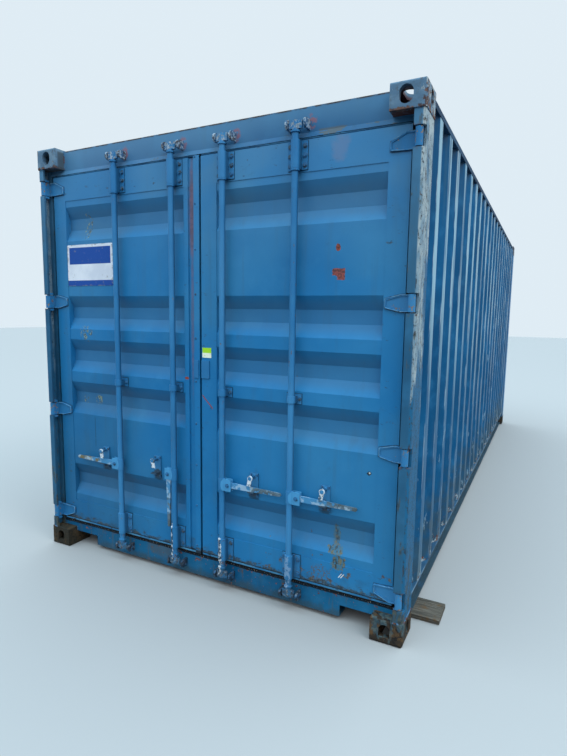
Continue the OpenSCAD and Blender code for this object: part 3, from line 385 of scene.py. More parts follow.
# The pale crests and the bright lines along their edges are painted highlights, stronger higher up and
# nearer the door end.
crest = wide.ramp(1.2074, 1.2086) * y.ramp(2.75, 2.62)
crest_sheen_streaks = place.clouds(0.05, 5.0, 0.60, (1.0, 1.0, 16.0)).ramp(0.34, 0.60)
higher = z.ramp(0.8, 1.9) * 0.62 + 0.14
nearer = y.ramp(2.6, -2.4) * 0.5 + 0.5
skin = cover(skin, tone(148, 186, 202), crest * crest_sheen_streaks * higher * nearer)
edge = wide.ramp(1.2040, 1.2075) * wide.ramp(1.2092, 1.2078)
edge_highlight = edge * (z.ramp(0.3, 1.6) * 0.6 + 0.4) * y.ramp(2.75, 2.62)
edge_runs = place.clouds(0.04, 5.0, 0.62, (1.0, 1.0, 12.0)).ramp(0.50, 0.58)
skin = cover(skin, tone(176, 192, 200), edge_highlight * edge_runs * 0.7)
scuffs = place.clouds(0.09, 6.0, 0.66, (1.0, 0.6, 2.0)) + z.ramp(1.1, 0.3) * 0.05 + crest * 0.03
skin = cover(skin, tone(140, 168, 184), scuffs.ramp(0.66, 0.69) * 0.5)
# A painted shadow in the valleys just under the top rail.
shadow_under_rail = z.ramp(2.44, 2.54)
skin = cover(skin, tone(34, 60, 84), shadow_under_rail * wide.ramp(1.2050, 1.1950) * 0.6)
foot = (place.clouds(0.040, 6.0, 0.68) + z.ramp(0.30, 0.183) * 0.20).ramp(0.70, 0.74)
skin = cover(skin, mottle(place, tone(150, 168, 176), RUST, 0.02, (0.5, 0.62)), foot)
dents = place.clouds(0.45, 3.0, 0.5, (1.0, 1.0, 2.0)) * 14.0
height = place.clouds(0.003, 2.0) * 0.3 + dents + foot * -0.4
end_look(look, skin, 0.50 + foot * 0.3, height, 0.0010, gloss=0.08)
wear(look, "side_wall_left", "side_wall_right", "end_wall", "roof")

# The floor is sheets of varnished plywood laid on steel cross members, which are coated
# with a dark underseal. Loads have worn and stained the wood.
look, place, x, y, z = start_look("floor_plywood")
sheets = place.clouds(0.012, 4.0, 0.6, (1.0, 30.0, 1.0))
skin = cover(tone(112, 80, 50), tone(140, 104, 68), sheets.ramp(0.4, 0.6))
skin = cover(skin, tone(62, 50, 40), place.clouds(0.25, 5.0).ramp(0.5, 0.75) * 0.7)
end_look(look, skin, 0.55, sheets + place.clouds(0.05) * 0.5, 0.0006)
wear(look, "floor")

look, place, x, y, z = start_look("underseal_black")
skin = cover(tone(34, 34, 36), tone(74, 56, 44), place.clouds(0.08, 6.0, 0.65).ramp(0.55, 0.66))
end_look(look, skin, 0.8, place.clouds(0.01, 4.0), 0.0012)
wear(look, "cross_members")


# The door leaves: a welded frame of tubes round one pressed steel panel. The blue is
# stronger here than on the frame, with old touch-ups, red primer and a few rusty spots.
LEAF_FACE = -2.961
# Distances from the middle of the door end: the two bars of a leaf, and the hinge blades' tips.
BAR_LINES = (0.170, 0.593)
BLADE_TIP = 1.053
# Each bar is held by three plates, given by level, half width and half height.
TOP_BEARING, LOW_BEARING, MID_GUIDE = 2.357, 0.250, 1.158
BAR_PLATES = ((TOP_BEARING, 0.052, 0.067), (LOW_BEARING, 0.052, 0.062), (MID_GUIDE, 0.042, 0.026))


def door_blue(place, x, y, z):
    """The paint of a leaf, dirty round what is fixed to it and darkened by painted shade towards the left
    foot; also its rust and outer face.
    """
    colour = old_paint(place, z, tone(28, 106, 158), tone(46, 118, 164), (1.7, 2.5), 0.36)
    roller = place.clouds(0.9, 2.0, 0.5, (1.0, 1.0, 0.5)).ramp(0.45, 0.55)
    colour = cover(colour, tone(22, 112, 170), roller * 0.35)
    # Painted shade: darker towards the left-hand side and the foot of the doors.
    painted_shade_left_low = x.ramp(0.0, -0.9) * (z + place.clouds(0.4) * 0.6).ramp(1.9, 0.8)
    colour = cover(colour, tone(22, 72, 108), painted_shade_left_low * 0.45)
    wide = x.maths("ABSOLUTE", x)
    outside = y.ramp(LEAF_FACE + 0.0005, LEAF_FACE - 0.0005)
    for bar in BAR_LINES:
        for level, half_wide, half_high in BAR_PLATES:
            beside = wide.maths("ABSOLUTE", wide - bar) - half_wide
            above = z.maths("ABSOLUTE", z - level) - half_high
            dirt = ((beside | above) + place.clouds(0.02) * 0.004).ramp(0.0075, 0.0035)
            colour = cover(colour, tone(24, 44, 58), dirt * outside * 0.85)
    along = ((wide - BLADE_TIP) * 13.4).maths("MINIMUM", (wide - BLADE_TIP) * 13.4, 1.0)
    for level, lean in HINGES:
        off_middle = z - (along * -lean + (level + lean))
        above = off_middle.maths("ABSOLUTE", off_middle) - (along * 0.018 + 0.022)
        dirt = ((above | (BLADE_TIP - wide)) + place.clouds(0.03) * 0.008).ramp(0.011, 0.005)
        colour = cover(colour, tone(40, 46, 48), dirt * outside * 0.8)
    low = place.clouds(0.05, 6.0, 0.64) + z.ramp(0.60, 0.15) * (x.ramp(-0.2, 0.6) * 0.10 + 0.04)
    low = (low + x.maths("ABSOLUTE", x - 0.72).ramp(0.4, 0.0) * 0.02).ramp(0.73, 0.76)
    rusty = mottle(place, tone(104, 96, 74), tone(76, 58, 42), 0.012)
    return cover(colour, rusty, low * 0.8), low, outside


def stain(skin, place, x, y, z, outside):
    """The rusty stain that has run down the right leaf, and the white scratch below it."""
    drip = spot(place, x, z, (0.836, 0.455), (0.020, 0.065), 0.5)
    drip = drip | spot(place, x, z, (0.838, 0.385), (0.046, 0.026), 0.8)
    drip = (drip | spot(place, x, z, (0.862, 0.325), (0.040, 0.040), 0.9)) * y.ramp(-2.918, -2.924)
    skin = cover(skin, tone(76, 108, 108), drip * 0.5)
    fleck = (place.clouds(0.012, 6.0, 0.7, (1.0, 1.0, 4.5)) + drip * 0.12).ramp(0.58, 0.68) * drip
    rusty = mottle(place, tone(112, 104, 70), tone(48, 44, 34), 0.02, (0.42, 0.56))
    skin = cover(skin, rusty, fleck * 0.85)
    specks = place.clouds(0.012, 6.0, 0.7).ramp(0.50, 0.56)
    specks = spot(place, x, z, (0.761, 0.240), (0.060, 0.050), 0.9) * specks
    skin = cover(skin, tone(92, 78, 54), specks * outside * 0.8)
    lean = (x - 0.878) - (z - 0.257) * 0.7
    off_line = lean.maths("ABSOLUTE", lean.maths("ABSOLUTE", lean) - 0.006)
    strokes = off_line.ramp(0.0036, 0.0016) * z.maths("ABSOLUTE", z - 0.257).ramp(0.014, 0.010)
    return cover(skin, tone(206, 214, 216), strokes * outside)


look, place, x, y, z = start_look("leaf_panel_blue")
skin, lost, outside = door_blue(place, x, y, z)
primer = mottle(place, tone(142, 74, 64), tone(92, 54, 46), 0.01)
skin = cover(skin, primer, spot(place, x, z, (0.813, 1.915), (0.013, 0.018), 0.5, 0.01) * outside)
corner = (x.maths("ABSOLUTE", x - 0.8185) - 0.031) | (z.maths("ABSOLUTE", z - 1.787) - 0.026)
bitten_off = spot(place, x, z, (0.795, 1.768), (0.018, 0.014), 0.2)
corner = (corner + place.clouds(0.012, 4.0) * 0.010).ramp(0.008, 0.005) * bitten_off.ramp(0.6, 0.4)
skin = cover(skin, primer, corner * outside * 0.95)
skin = stain(skin, place, x, y, z, outside)
OLD_MARKS = (((-0.880, 2.12), (0.030, 0.080)), ((-0.900, 1.45), (0.050, 0.050)),
             ((-0.958, 1.01), (0.022, 0.030)), ((-0.842, 1.02), (0.030, 0.035)))
for middle, size in OLD_MARKS:
    flaked = place.clouds(0.016, 6.0, 0.72, (1.0, 1.0, 1.6)).ramp(0.50, 0.56)
    mark = spot(place, x, z, middle, size, 0.8, 0.04, 0.5) * flaked
    lichen = mottle(place, tone(146, 154, 104), tone(70, 70, 50), 0.012, (0.46, 0.54), 5.0)
    skin = cover(skin, lichen, mark * 0.85)
# A crease in the left leaf, drawn as a dark line of painted shade.
crease_shade = x.maths("ABSOLUTE", x + 0.842 + place.clouds(0.10) * 0.01).ramp(0.0050, 0.0015)
crease_shade = crease_shade * z.ramp(0.68, 0.74) * z.ramp(1.02, 0.97)
skin = cover(skin, tone(26, 60, 86), crease_shade * place.clouds(0.03).ramp(0.40, 0.52) * outside * 0.6)
RETAINERS = (-0.747, -0.324, 0.358, 0.781)  # the middle of each, across the door end
for keep in RETAINERS:
    below_it = spot(place, x, z, (keep, 0.590), (0.034, 0.034), 0.7, 0.02, 0.6)
    skin = cover(skin, tone(34, 52, 64), below_it * outside * 0.7)
# A small dent: a dark ring of painted shade with a painted highlight in its middle.
dent = spot(place, x, z, (1.007, 0.822), (0.011, 0.010), 0.6, 0.01)
skin = cover(skin, tone(30, 42, 50), dent * outside)
glint = spot(place, x, z, (1.009, 0.824), (0.005, 0.004), 0.2)
skin = cover(skin, tone(190, 204, 210), glint * outside)
# Painted shade: greyer and duller on the parts set back in the recesses.
recess_shade = y.ramp(-2.960, -2.935)
skin = cover(skin, tone(70, 96, 118), recess_shade * 0.25)
height = place.clouds(0.003, 2.0) * 0.3 + lost * -0.5 + place.clouds(0.35, 2.0) * 7.0
end_look(look, skin, 0.38 + lost * 0.4, height, 0.0009)
wear(look, "left_leaf_panel", "right_leaf_panel")

look, place, x, y, z = start_look("leaf_frame_blue")
skin, lost, outside = door_blue(place, x, y, z)
faint = spot(place, x, z, (0.815, 2.375), (0.045, 0.055), 1.2, 0.06, 0.7)
skin = cover(skin, tone(132, 122, 138), faint * outside * 0.24)
streak = spot(place, x, z, (-0.060, 2.14), (0.019, 0.25), 0.35, 0.05, 0.9) * 0.80
streak = streak | spot(place, x, z, (-0.060, 1.60), (0.010, 0.42), 0.8, 0.05, 0.7) * 0.40
red_lead = mottle(place, tone(124, 90, 98), tone(104, 76, 82), 0.03)
skin = cover(skin, red_lead, streak * y.ramp(-2.9480, -2.9540))
skin = stain(skin, place, x, y, z, outside)
slant = (z - 1.090) + x * 1.0
cut = slant.maths("ABSOLUTE", slant - 0.047).ramp(0.006, 0.003)
cut = cut * x.ramp(0.008, 0.016) * x.ramp(0.086, 0.078)
nick = spot(place, x, z, (-0.098, 1.216), (0.016, 0.008), 0.2)
skin = cover(skin, tone(134, 66, 62), (cut | nick) * outside)
edge = (place.clouds(0.022, 6.0, 0.68, (2.0, 1.0, 1.0)) + z.ramp(0.235, 0.180) * 0.22).ramp(0.62, 0.70)
skin = cover(skin, mottle(place, tone(74, 74, 60), tone(36, 40, 42), 0.012), edge * 0.75)
skin = cover(skin, tone(26, 34, 42), z.ramp(0.189, 0.185) * 0.8)
height = place.clouds(0.003, 2.0) * 0.3 + lost * -0.5 + place.clouds(0.5, 2.0) * 5.0
end_look(look, skin, 0.38 + lost * 0.4, height, 0.0009)
wear(look, "left_leaf_frame", "right_leaf_frame")

# Black rubber gaskets are held round each leaf by a flat strip behind its edge. Weather has
# dulled the rubber and greyed it in streaks.
look, place, x, y, z = start_look("gasket_rubber")
greyed = place.clouds(0.06, 5.0, 0.6, (1.0, 1.0, 4.0)).ramp(0.5, 0.75)
skin = cover(tone(20, 21, 23), tone(48, 50, 50), greyed)
end_look(look, skin, 0.75, place.clouds(0.004, 3.0), 0.0004)
wear(look, "left_gasket", "right_gasket")

# Hinge blades are drop-forged, welded to the leaves and hung on pins in the posts. Paint
# has come off the knuckles first, where the metal shows bare and rusty.
look, place, x, y, z = start_look("hinge_blue")
skin = old_paint(place, z, tone(34, 104, 154), tone(54, 120, 168), None, 0.2)
knuckle = x.maths("ABSOLUTE", x).ramp(1.160, 1.175)
lost = (place.clouds(0.02, 6.0, 0.66) + knuckle * 0.06).ramp(0.62, 0.66)
skin = cover(skin, mottle(place, RUST, tone(120, 112, 104), 0.01), lost)
end_look(look, skin, 0.45 + lost * 0.3, place.clouds(0.003, 2.0) * 0.4 + lost * -0.6, 0.0009)
wear(look, "left_hinge_blades", "right_hinge_blades", "hinge_pins_left", "hinge_pins_right")

# The lock gear: tubes with forged cams turn in brackets on the leaves. Paint is worn off
# the cams and keepers, and rubbed through where the low ends have been struck.
look, place, x, y, z = start_look("lock_gear_blue")
skin = old_paint(place, z, tone(38, 106, 156), tone(58, 124, 172), None, 0.3)
lost = (place.clouds(0.016, 6.0, 0.68, (1.0, 1.0, 2.5)) + z.ramp(0.45, 0.1) * 0.05).ramp(0.65, 0.68)
skin = cover(skin, mottle(place, RUST, tone(110, 118, 122), 0.01), lost)
ends = z.ramp(2.462, 2.474) | z.ramp(0.140, 0.126)
worn = (place.clouds(0.015, 6.0, 0.62) + ends * 0.32).ramp(0.78, 0.88)
iron = mottle(place, tone(112, 130, 144), tone(74, 64, 64), 0.014, (0.44, 0.62), 3.0)
pale_head = z.ramp(2.40, 2.45) * place.clouds(0.014, 4.0).ramp(0.48, 0.54)
iron = cover(iron, tone(160, 178, 192), pale_head * 0.8)
dark_foot = z.ramp(0.30, 0.20) * place.clouds(0.02, 4.0).ramp(0.44, 0.52)
iron = cover(iron, tone(40, 58, 74), dark_foot * 0.8)
skin = cover(skin, iron, worn)
struck = spot(place, x, z, (0.157, 0.22), (0.020, 0.12), 0.6)
struck = struck | spot(place, x, z, (-0.182, 0.23), (0.014, 0.13), 0.6)
struck = struck | spot(place, x, z, (0.590, 0.22), (0.018, 0.10), 1.4) * 0.25
beaten = mottle(place, tone(196, 204, 208), tone(40, 54, 66), 0.026, (0.48, 0.54))
skin = cover(skin, beaten, struck * 0.85)
# Painted shade: darker on the back of the bars, hubs and collars towards the leaf, and round the edges of
# the plates next to it.
shade_behind_gear = y.ramp(-3.0130, -2.9930) * y.ramp(-2.9720, -2.9740) | y.ramp(-2.9672, -2.9655)
shade_behind_gear = shade_behind_gear * x.maths("ABSOLUTE", x).ramp(0.10, 0.12)
skin = cover(skin, tone(18, 44, 68), shade_behind_gear * 0.6)
HUB_PINS = (-0.634, -0.211, 0.211, 0.634)  # across the door end, all at one level
HANDLE_LEVEL = 0.640
for pin in HUB_PINS:
    hub = spot(place, x, z, (pin, HANDLE_LEVEL), (0.042, 0.046), 0.1)
    skin = cover(skin, tone(72, 146, 194), hub * 0.8)
for keep in RETAINERS:
    rusty_foot = spot(place, x, z, (keep, 0.612), (0.040, 0.030), 0.6, 0.02, 0.4)
    skin = cover(skin, tone(50, 56, 58), rusty_foot * 0.8)
end_look(look, skin, 0.42 + lost * 0.3, place.clouds(0.003, 2.0) * 0.4 + lost * -0.5, 0.0008)
wear(look, *("lock_bar_%d" % i for i in range(1, 5)))
for side in ("left", "right"):
    wear(look, "%s_bar_brackets" % side, "%s_retainers" % side)

look, place, x, y, z = start_look("keeper_iron")
skin = mottle(place, tone(96, 114, 130), tone(70, 60, 60), 0.016, (0.42, 0.60))
skin = cover(skin, tone(50, 98, 138), place.clouds(0.03, 5.0, 0.6).ramp(0.46, 0.54) * 0.85)
dark_foot = z.ramp(0.30, 0.20) * place.clouds(0.02, 4.0).ramp(0.42, 0.52)
skin = cover(skin, tone(34, 48, 60), dark_foot * 0.8)
pale_head = z.ramp(2.40, 2.45) * place.clouds(0.014, 4.0).ramp(0.50, 0.56)
skin = cover(skin, tone(160, 178, 192), pale_head * 0.75)
end_look(look, skin, 0.6, place.clouds(0.005, 4.0), 0.0010, 0.3)
wear(look, "keepers_top", "keepers_low")

# Handles and hasps are forged flats. Paint is left near the hub, hands and weather have
# taken it off the grips, which show zinc, bare steel and a film of rust.
look, place, x, y, z = start_look("handle_steel")
drop = z.maths("ABSOLUTE", z - HANDLE_LEVEL)
near_hub, worn_and_highlit = 0.0, 0.0
for pin in HUB_PINS:
    out_along = (x - pin) if pin > 0 else (pin - x)
    from_hub = x.maths("MAXIMUM", out_along | out_along * -4.0, drop)
    near_hub = from_hub.ramp(0.26, 0.05) + near_hub
    worn_and_highlit = from_hub.ramp(0.19, 0.12) + worn_and_highlit
skin = mottle(place, tone(90, 112, 126), tone(70, 82, 86), 0.05, (0.42, 0.60), 5.0)
lichen = x.ramp(-0.70, -0.80) * place.clouds(0.04, 5.0).ramp(0.38, 0.50)
skin = cover(skin, tone(110, 104, 80), lichen)
paint_left = (place.clouds(0.025, 5.0, 0.6) + near_hub * 0.30).ramp(0.56, 0.68)
skin = cover(skin, tone(66, 132, 178), paint_left)
# Pale between hub and hasp: rubbed bare steel and a painted highlight.
rubbed_metal_and_highlight = (place.clouds(0.014, 4.0, 0.55, (3.0, 1.0, 3.0)) + worn_and_highlit * 0.08).ramp(0.54, 0.62)
skin = cover(skin, tone(166, 194, 212), rubbed_metal_and_highlight * 0.62)
end_look(look, skin, 0.45, place.clouds(0.004, 3.0), 0.0006, 0.1)
wear(look, *("handle_%d" % i for i in range(1, 5)))

look, place, x, y, z = start_look("hasp_zinc")
skin = mottle(place, tone(202, 214, 222), tone(78, 108, 132), 0.020, (0.52, 0.60))
skin = cover(skin, tone(48, 46, 46), place.clouds(0.012, 4.0).ramp(0.60, 0.66))
end_look(look, skin, 0.35, place.clouds(0.003, 3.0), 0.0004, 0.1)
wear(look, *("hasp_%d" % i for i in range(1, 5)))


# Hexagon bolts hold the brackets and the handle retainers to the leaves, and round-head
# rivets the closing strip. Their heads have been painted over with the rest.
FACING_OUT = Matrix.Rotation(1.5708, 4, "X")
WASHER = 0.002


def add_round(mesh, segments, low, high, depth, place, turn=Matrix()):
    """A short cone that faces the door end, its wide side at the back."""
    lie = Matrix.Translation(place) @ FACING_OUT @ turn
    bmesh.ops.create_cone(mesh, cap_ends=True, segments=segments, radius1=low, radius2=high,
                          depth=depth, matrix=lie)


def add_bolt(mesh, x, y, z, across=0.017, head=0.007):
    """A hexagon head on its washer, facing the door end; y is the face it is screwed to."""
    add_round(mesh, 16, across * 0.78, across * 0.72, WASHER, (x, y - WASHER / 2, z))
    turn = Matrix.Rotation((x * 37.0 + z * 19.0) % 1.0, 4, "Z")
    add_round(mesh, 6, across * 0.56, across * 0.50, head, (x, y - WASHER - head / 2, z), turn)


def finish_piece(mesh, name, body, look, smooth=False):
    """Turns a bmesh into a piece that rides on a body."""
    data = bpy.data.meshes.new(name)
    mesh.to_mesh(data)
    mesh.free()
    piece = bpy.data.objects.new(name, data)
    bpy.context.scene.collection.objects.link(piece)
    data.materials.append(look)
    if smooth:
        data.shade_smooth()
    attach(piece, body)
    return piece


bolt_look, place, x, y, z = start_look("bolt_paint")
skin = mottle(place, tone(46, 98, 140), tone(58, 78, 92), 0.03, (0.45, 0.65), 5.0)
skin = cover(skin, tone(72, 54, 46), place.clouds(0.008, 5.0).ramp(0.60, 0.68))
end_look(bolt_look, skin, 0.5, place.clouds(0.003, 3.0), 0.0005)
PLATE_FACE = -2.971
GUIDE_FACE = -2.968
HUB_FACE = -3.016
RETAINER_SCREWS = (0.599, 0.714)
bearing_screws = [TOP_BEARING + rise for rise in (-0.045, 0.0, 0.045)]
bearing_screws += [LOW_BEARING + rise for rise in (-0.038, 0.038)]
for side, body, keep in ((-1, "left_leaf", 0.154), (1, "right_leaf", 0.188)):
    bolts = bmesh.new()
    for bar in BAR_LINES:
        for away in (-0.040, 0.040):
            for level in bearing_screws:
                add_bolt(bolts, side * (bar + away), PLATE_FACE, level)
            add_bolt(bolts, side * (bar + away * 0.80), GUIDE_FACE, MID_GUIDE, 0.014, 0.006)
        for level in RETAINER_SCREWS:
            for away in (-0.0185, 0.0185):
                add_bolt(bolts, side * (bar + keep + away), GUIDE_FACE, level, 0.010, 0.005)
    if side < 0:
        for i in range(10):
            add_round(bolts, 12, 0.0065, 0.0035, 0.004, (-0.030, PLATE_FACE, 0.22 + i * 0.2455))
    finish_piece(bolts, "%s_bolts" % body, body, bolt_look)
for bar, pin in enumerate(HUB_PINS, start=1):
    bolt = bmesh.new()
    add_bolt(bolt, pin, HUB_FACE, HANDLE_LEVEL, 0.015, 0.006)
    finish_piece(bolt, "hub_bolt_%d" % bar, "bar_%d" % bar, bolt_look)


# A painted tin sign is riveted to the left leaf. It is bare of any words: white enamel
# with a blue field and a blue band along its foot, scuffed and dirty at the edges.
def add_slab(mesh, middle, size):
    """A flat block, given by its middle and its three sides."""
    lie = Matrix.Translation(middle) @ Matrix.Diagonal((*size, 1.0))
    bmesh.ops.create_cube(mesh, size=1.0, matrix=lie)


def round_edges(mesh, edges, radius, segments=2):
    """Rounds these edges of a mesh."""
    bmesh.ops.bevel(mesh, geom=edges, offset=radius, segments=segments, profile=0.5,
                    affect="EDGES", material=-1)


SIGN_X, SIGN_Z = -0.849, 1.878
SIGN_WIDE, SIGN_HIGH, TIN = 0.390, 0.256, 0.0016
sign = bmesh.new()
add_slab(sign, (SIGN_X, -2.9632, SIGN_Z), (SIGN_WIDE, TIN, SIGN_HIGH))
through = [e for e in sign.edges if abs((e.verts[0].co - e.verts[1].co).y) > 0.001]
round_edges(sign, through, 0.008, 3)
rivet_out, rivet_up = SIGN_WIDE / 2 - 0.009, SIGN_HIGH / 2 - 0.010
for across in (-rivet_out, rivet_out):
    for rise in (-rivet_up, rivet_up):
        add_round(sign, 12, 0.005, 0.003, 0.003, (SIGN_X + across, -2.9655, SIGN_Z + rise))
sign_look, place, x, y, z = start_look("sign_enamel")
skin = mottle(place, tone(196, 206, 220), tone(214, 222, 232), 0.1, (0.3, 0.7))
off_middle = x.maths("ABSOLUTE", x - SIGN_X)
field = (off_middle - 0.178) | (z.maths("ABSOLUTE", z - 1.937) - 0.052)
band = z.ramp(1.7845, 1.7835) | field.ramp(0.0005, -0.0005)
skin = cover(skin, tone(22, 72, 150), band)
rim = off_middle.ramp(SIGN_WIDE / 2 - 0.015, SIGN_WIDE / 2)
rim = rim | z.maths("ABSOLUTE", z - SIGN_Z).ramp(SIGN_HIGH / 2 - 0.012, SIGN_HIGH / 2)
scuffed = (place.clouds(0.03, 6.0, 0.65) + rim * 0.14).ramp(0.60, 0.70)
skin = cover(skin, tone(126, 128, 124), scuffed * 0.6)
end_look(sign_look, skin, 0.3, place.clouds(0.08, 3.0), 0.0006)
finish_piece(sign, "sign_plate", "left_leaf", sign_look)

# A small sticker of plain vinyl, green above and white below, is stuck to the stile over
# the sealing plate. It has gone a little dull.
STICKER = (0.0435, -2.96525, 1.369)
sticker = bmesh.new()
add_slab(sticker, STICKER, (0.060, 0.0005, 0.056))
sticker_look, place, x, y, z = start_look("sticker_vinyl")
skin = cover(tone(226, 236, 214), tone(160, 214, 44), z.ramp(STICKER[2] - 0.0015, STICKER[2] - 0.0005))
skin = cover(skin, tone(150, 160, 120), place.clouds(0.012, 4.0).ramp(0.55, 0.70) * 0.5)
end_look(sticker_look, skin, 0.35, place.clouds(0.01), 0.0002)
finish_piece(sticker, "sticker", "right_leaf", sticker_look)


# Weld beads join posts to castings and the header and sill to both. They are laid by hand,
# so their width changes along the run, and rust starts in them first.
def add_bead(mesh, start, end, radius=0.005):
    """A round bead along a straight line, of a width that wavers."""
    start, end = Vector(start), Vector(end)
    run = end - start
    lie = Matrix.Translation((start + end) / 2) @ run.to_track_quat("Z", "Y").to_matrix().to_4x4()
    made = bmesh.ops.create_cone(mesh, cap_ends=True, segments=8, radius1=radius, radius2=radius,
                                 depth=run.length, matrix=lie)
    along = run.normalized()
    edges = {e for v in made["verts"] for e in v.link_edges}
    long_edges = [e for e in edges if abs((e.verts[0].co - e.verts[1].co).normalized().dot(along)) > 0.99]
    cuts = max(2, int(run.length / 0.009))
    cut = bmesh.ops.subdivide_edges(mesh, edges=long_edges, cuts=cuts, use_grid_fill=False)
    new = {v for v in cut["geom_inner"] if isinstance(v, bmesh.types.BMVert)}
    for v in new:
        on_axis = start + along * (v.co - start).dot(along)
        v.co = on_axis + (v.co - on_axis) * (0.82 + 0.45 * noise.noise(on_axis * 90.0))


bead_look, place, x, y, z = start_look("weld_bead")
skin = cover(tone(66, 104, 136), RUST, place.clouds(0.03, 6.0, 0.65).ramp(0.48, 0.58))
skin = cover(skin, RUST_DARK, place.clouds(0.01, 4.0).ramp(0.58, 0.68))
end_look(bead_look, skin, 0.65, place.clouds(0.004, 3.0), 0.0008)
CASTING_SEAMS = (0.118, 2.473)
beads = bmesh.new()
for side in (-1, 1):
    for level in CASTING_SEAMS:
        add_bead(beads, (side * 1.168, -3.0225, level), (side * 1.198, -3.0225, level))
        add_bead(beads, (side * 1.2155, -3.003, level), (side * 1.2155, -2.853, level))
        add_bead(beads, (side * 1.059, 3.0225, level), (side * 1.214, 3.0225, level))
        add_bead(beads, (side * 1.2155, 2.853, level), (side * 1.2155, 3.020, level))
    add_bead(beads, (side * 1.057, -2.9525, 2.474), (side * 1.057, -2.9525, 2.584))
    add_bead(beads, (side * 1.2105, -2.8515, 0.185), (side * 1.2105, -2.8515, 0.30), 0.003)
    add_bead(beads, (side * 1.057, -2.9525, 0.090), (side * 1.057, -2.9525, 0.117))
finish_piece(beads, "weld_beads", "container", bead_look, smooth=True)

# Forging leaves a raised rim round each hinge blade, which catches the light; the paint on
# it is rubbed pale and carries a painted highlight.
rim_look, place, x, y, z = start_look("blade_rim")
skin = mottle(place, tone(56, 120, 168), tone(92, 140, 172), 0.04, detail=5.0)
skin = cover(skin, RUST_DARK, place.clouds(0.015, 5.0).ramp(0.62, 0.68))
end_look(rim_look, skin, 0.5, place.clouds(0.004, 3.0), 0.0005)
BLADE_FACE = -2.974
for side, body in ((-1, "left_leaf"), (1, "right_leaf")):
    rims = bmesh.new()
    for level, lean in HINGES:
        corners = [(1.171, 0.038), (1.1275, 0.038), (1.0555, lean + 0.0205),
                   (1.0555, lean - 0.0205), (1.1275, -0.038), (1.171, -0.038)]
        points = [(side * out, BLADE_FACE, level + rise) for out, rise in corners]
        for start, end in zip(points, points[1:]):
            add_bead(rims, start, end, 0.0026)
    finish_piece(rims, "%s_blade_rims" % body, body, rim_look, smooth=True)

# A rubber lip seals each leaf at its head and foot. The one at the head is painted over,
# the one at the foot hangs black below a pale clamping strip.
lip_paint, place, x, y, z = start_look("lip_painted")
smooth_runs = place.clouds(0.05, 5.0, 0.6, (4.0, 1.0, 1.0)).ramp(0.4, 0.6)
skin = cover(tone(24, 70, 104), tone(44, 96, 130), smooth_runs)
end_look(lip_paint, skin, 0.6, place.clouds(0.006, 3.0), 0.0005)
lip_black, place, x, y, z = start_look("lip_black")
dusty = place.clouds(0.02, 5.0, 0.6, (4.0, 1.0, 1.0)).ramp(0.60, 0.68)
skin = cover(tone(18, 20, 22), tone(70, 74, 72), dusty)
end_look(lip_black, skin, 0.7, place.clouds(0.006, 3.0), 0.0005)
strip_look, place, x, y, z = start_look("clamping_strip")
paler = place.clouds(0.06, 5.0, 0.6, (3.0, 1.0, 1.0)).ramp(0.4, 0.65)
skin = cover(tone(38, 104, 148), tone(76, 134, 168), paler)
bare = mottle(place, tone(34, 36, 38), tone(88, 72, 54), 0.02, (0.5, 0.6))
skin = cover(skin, bare, place.clouds(0.014, 6.0, 0.68, (3.0, 1.0, 1.0)).ramp(0.57, 0.62))
end_look(strip_look, skin, 0.5, place.clouds(0.01, 4.0), 0.0008)
LEAF_EDGE = 1.146
LIP_Y = -2.959
for side, body, inner in ((-1, "left_leaf", 0.004), (1, "right_leaf", 0.010)):
    head, foot, strip = bmesh.new(), bmesh.new(), bmesh.new()
    for lip, level, radius in ((head, 2.4355, 0.0050), (foot, 0.1650, 0.0048)):
        add_bead(lip, (side * inner, LIP_Y, level), (side * LEAF_EDGE, LIP_Y, level), radius)
    middle = side * (inner + LEAF_EDGE) / 2
    add_slab(strip, (middle, -2.9662, 0.1765), (LEAF_EDGE - inner, 0.0024, 0.009))
    round_edges(strip, strip.edges[:], 0.0008)
    finish_piece(head, "%s_head_lip" % body, body, lip_paint, smooth=True)
    finish_piece(foot, "%s_foot_lip" % body, body, lip_black, smooth=True)
    finish_piece(strip, "%s_foot_strip" % body, body, strip_look)

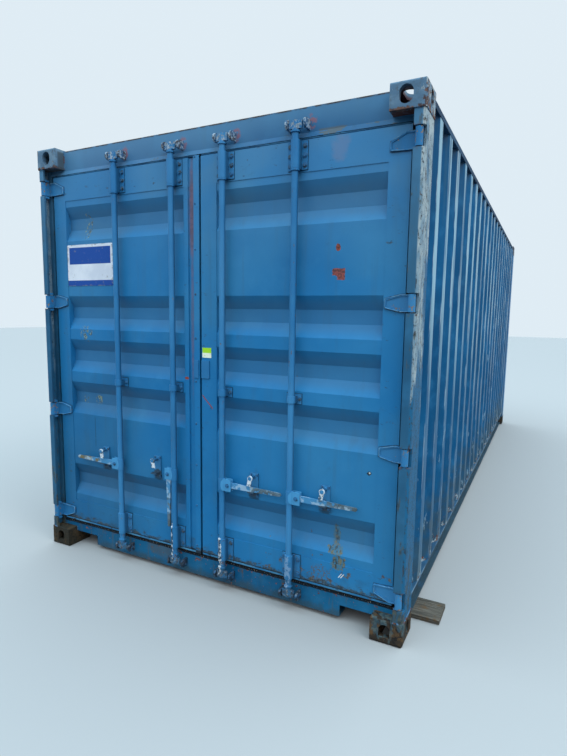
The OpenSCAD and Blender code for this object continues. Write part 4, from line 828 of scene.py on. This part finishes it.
# Two short ends of sawn board lie under the bottom rails as packing. The wood has gone
# grey and is darkened further as painted shade; its corners are worn round and its grain stands open.
board_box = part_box("timber_boards")
boards = bmesh.new()
BOARD = (0.342, 0.182, 0.025)
board_middle = (board_box[0][1] + board_box[1][1]) / 2
for side in (-1, 1):
    outer_end = board_box[1][0]
    add_slab(boards, (side * (outer_end - BOARD[0] / 2), board_middle, BOARD[2] / 2), BOARD)
round_edges(boards, boards.edges[:], 0.003)
board_look, place, x, y, z = start_look("grey_timber")
grain = place.clouds(0.006, 4.0, 0.6, (22.0, 1.0, 1.0))
skin = cover(tone(54, 53, 50), tone(98, 94, 86), grain.ramp(0.35, 0.65))
skin = cover(skin, tone(44, 42, 40), place.clouds(0.004, 4.0, 0.6, (40.0, 1.0, 1.0)).ramp(0.58, 0.66))
skin = cover(skin, tone(88, 66, 42), place.clouds(0.06, 3.0).ramp(0.54, 0.70) * 0.8)
end_look(board_look, skin, 0.85, grain + place.clouds(0.02) * 0.4, 0.0014)
pieces = finish_piece(boards, "packing_boards", "container", board_look)
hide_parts("timber_boards")

# The floor of the studio: one sheet that looks pale and keeps the object's shadow, but
# throws little light back on it.
floor_mesh = bmesh.new()
bmesh.ops.create_grid(floor_mesh, x_segments=1, y_segments=1, size=40.0)
floor_data = bpy.data.meshes.new("ground")
floor_mesh.to_mesh(floor_data)
floor_mesh.free()
ground = bpy.data.objects.new("ground", floor_data)
bpy.context.scene.collection.objects.link(ground)
ground_look = bpy.data.materials.new("pale_ground")
ground_look.use_nodes = True
floor_tree = ground_look.node_tree
floor_shader = floor_tree.nodes["Principled BSDF"]
floor_shader.inputs["Roughness"].default_value = 0.9
floor_shader.inputs["Specular IOR Level"].default_value = 0.1
floor_rays = floor_tree.nodes.new("ShaderNodeLightPath")
FLOOR_DARK = (0.080, 0.083, 0.087, 1.0)
FLOOR_PALE = (0.30, 0.305, 0.31, 1.0)
camera_ray, glossy_ray, clear_ray = (Wire(floor_tree, floor_rays.outputs["Is %s Ray" % kind])
                                     for kind in ("Camera", "Glossy", "Transmission"))
floor_tone = cover(FLOOR_DARK, FLOOR_PALE, camera_ray | glossy_ray | clear_ray)
floor_tree.links.new(floor_tone.socket, floor_shader.inputs["Base Color"])
floor_data.materials.append(ground_look)
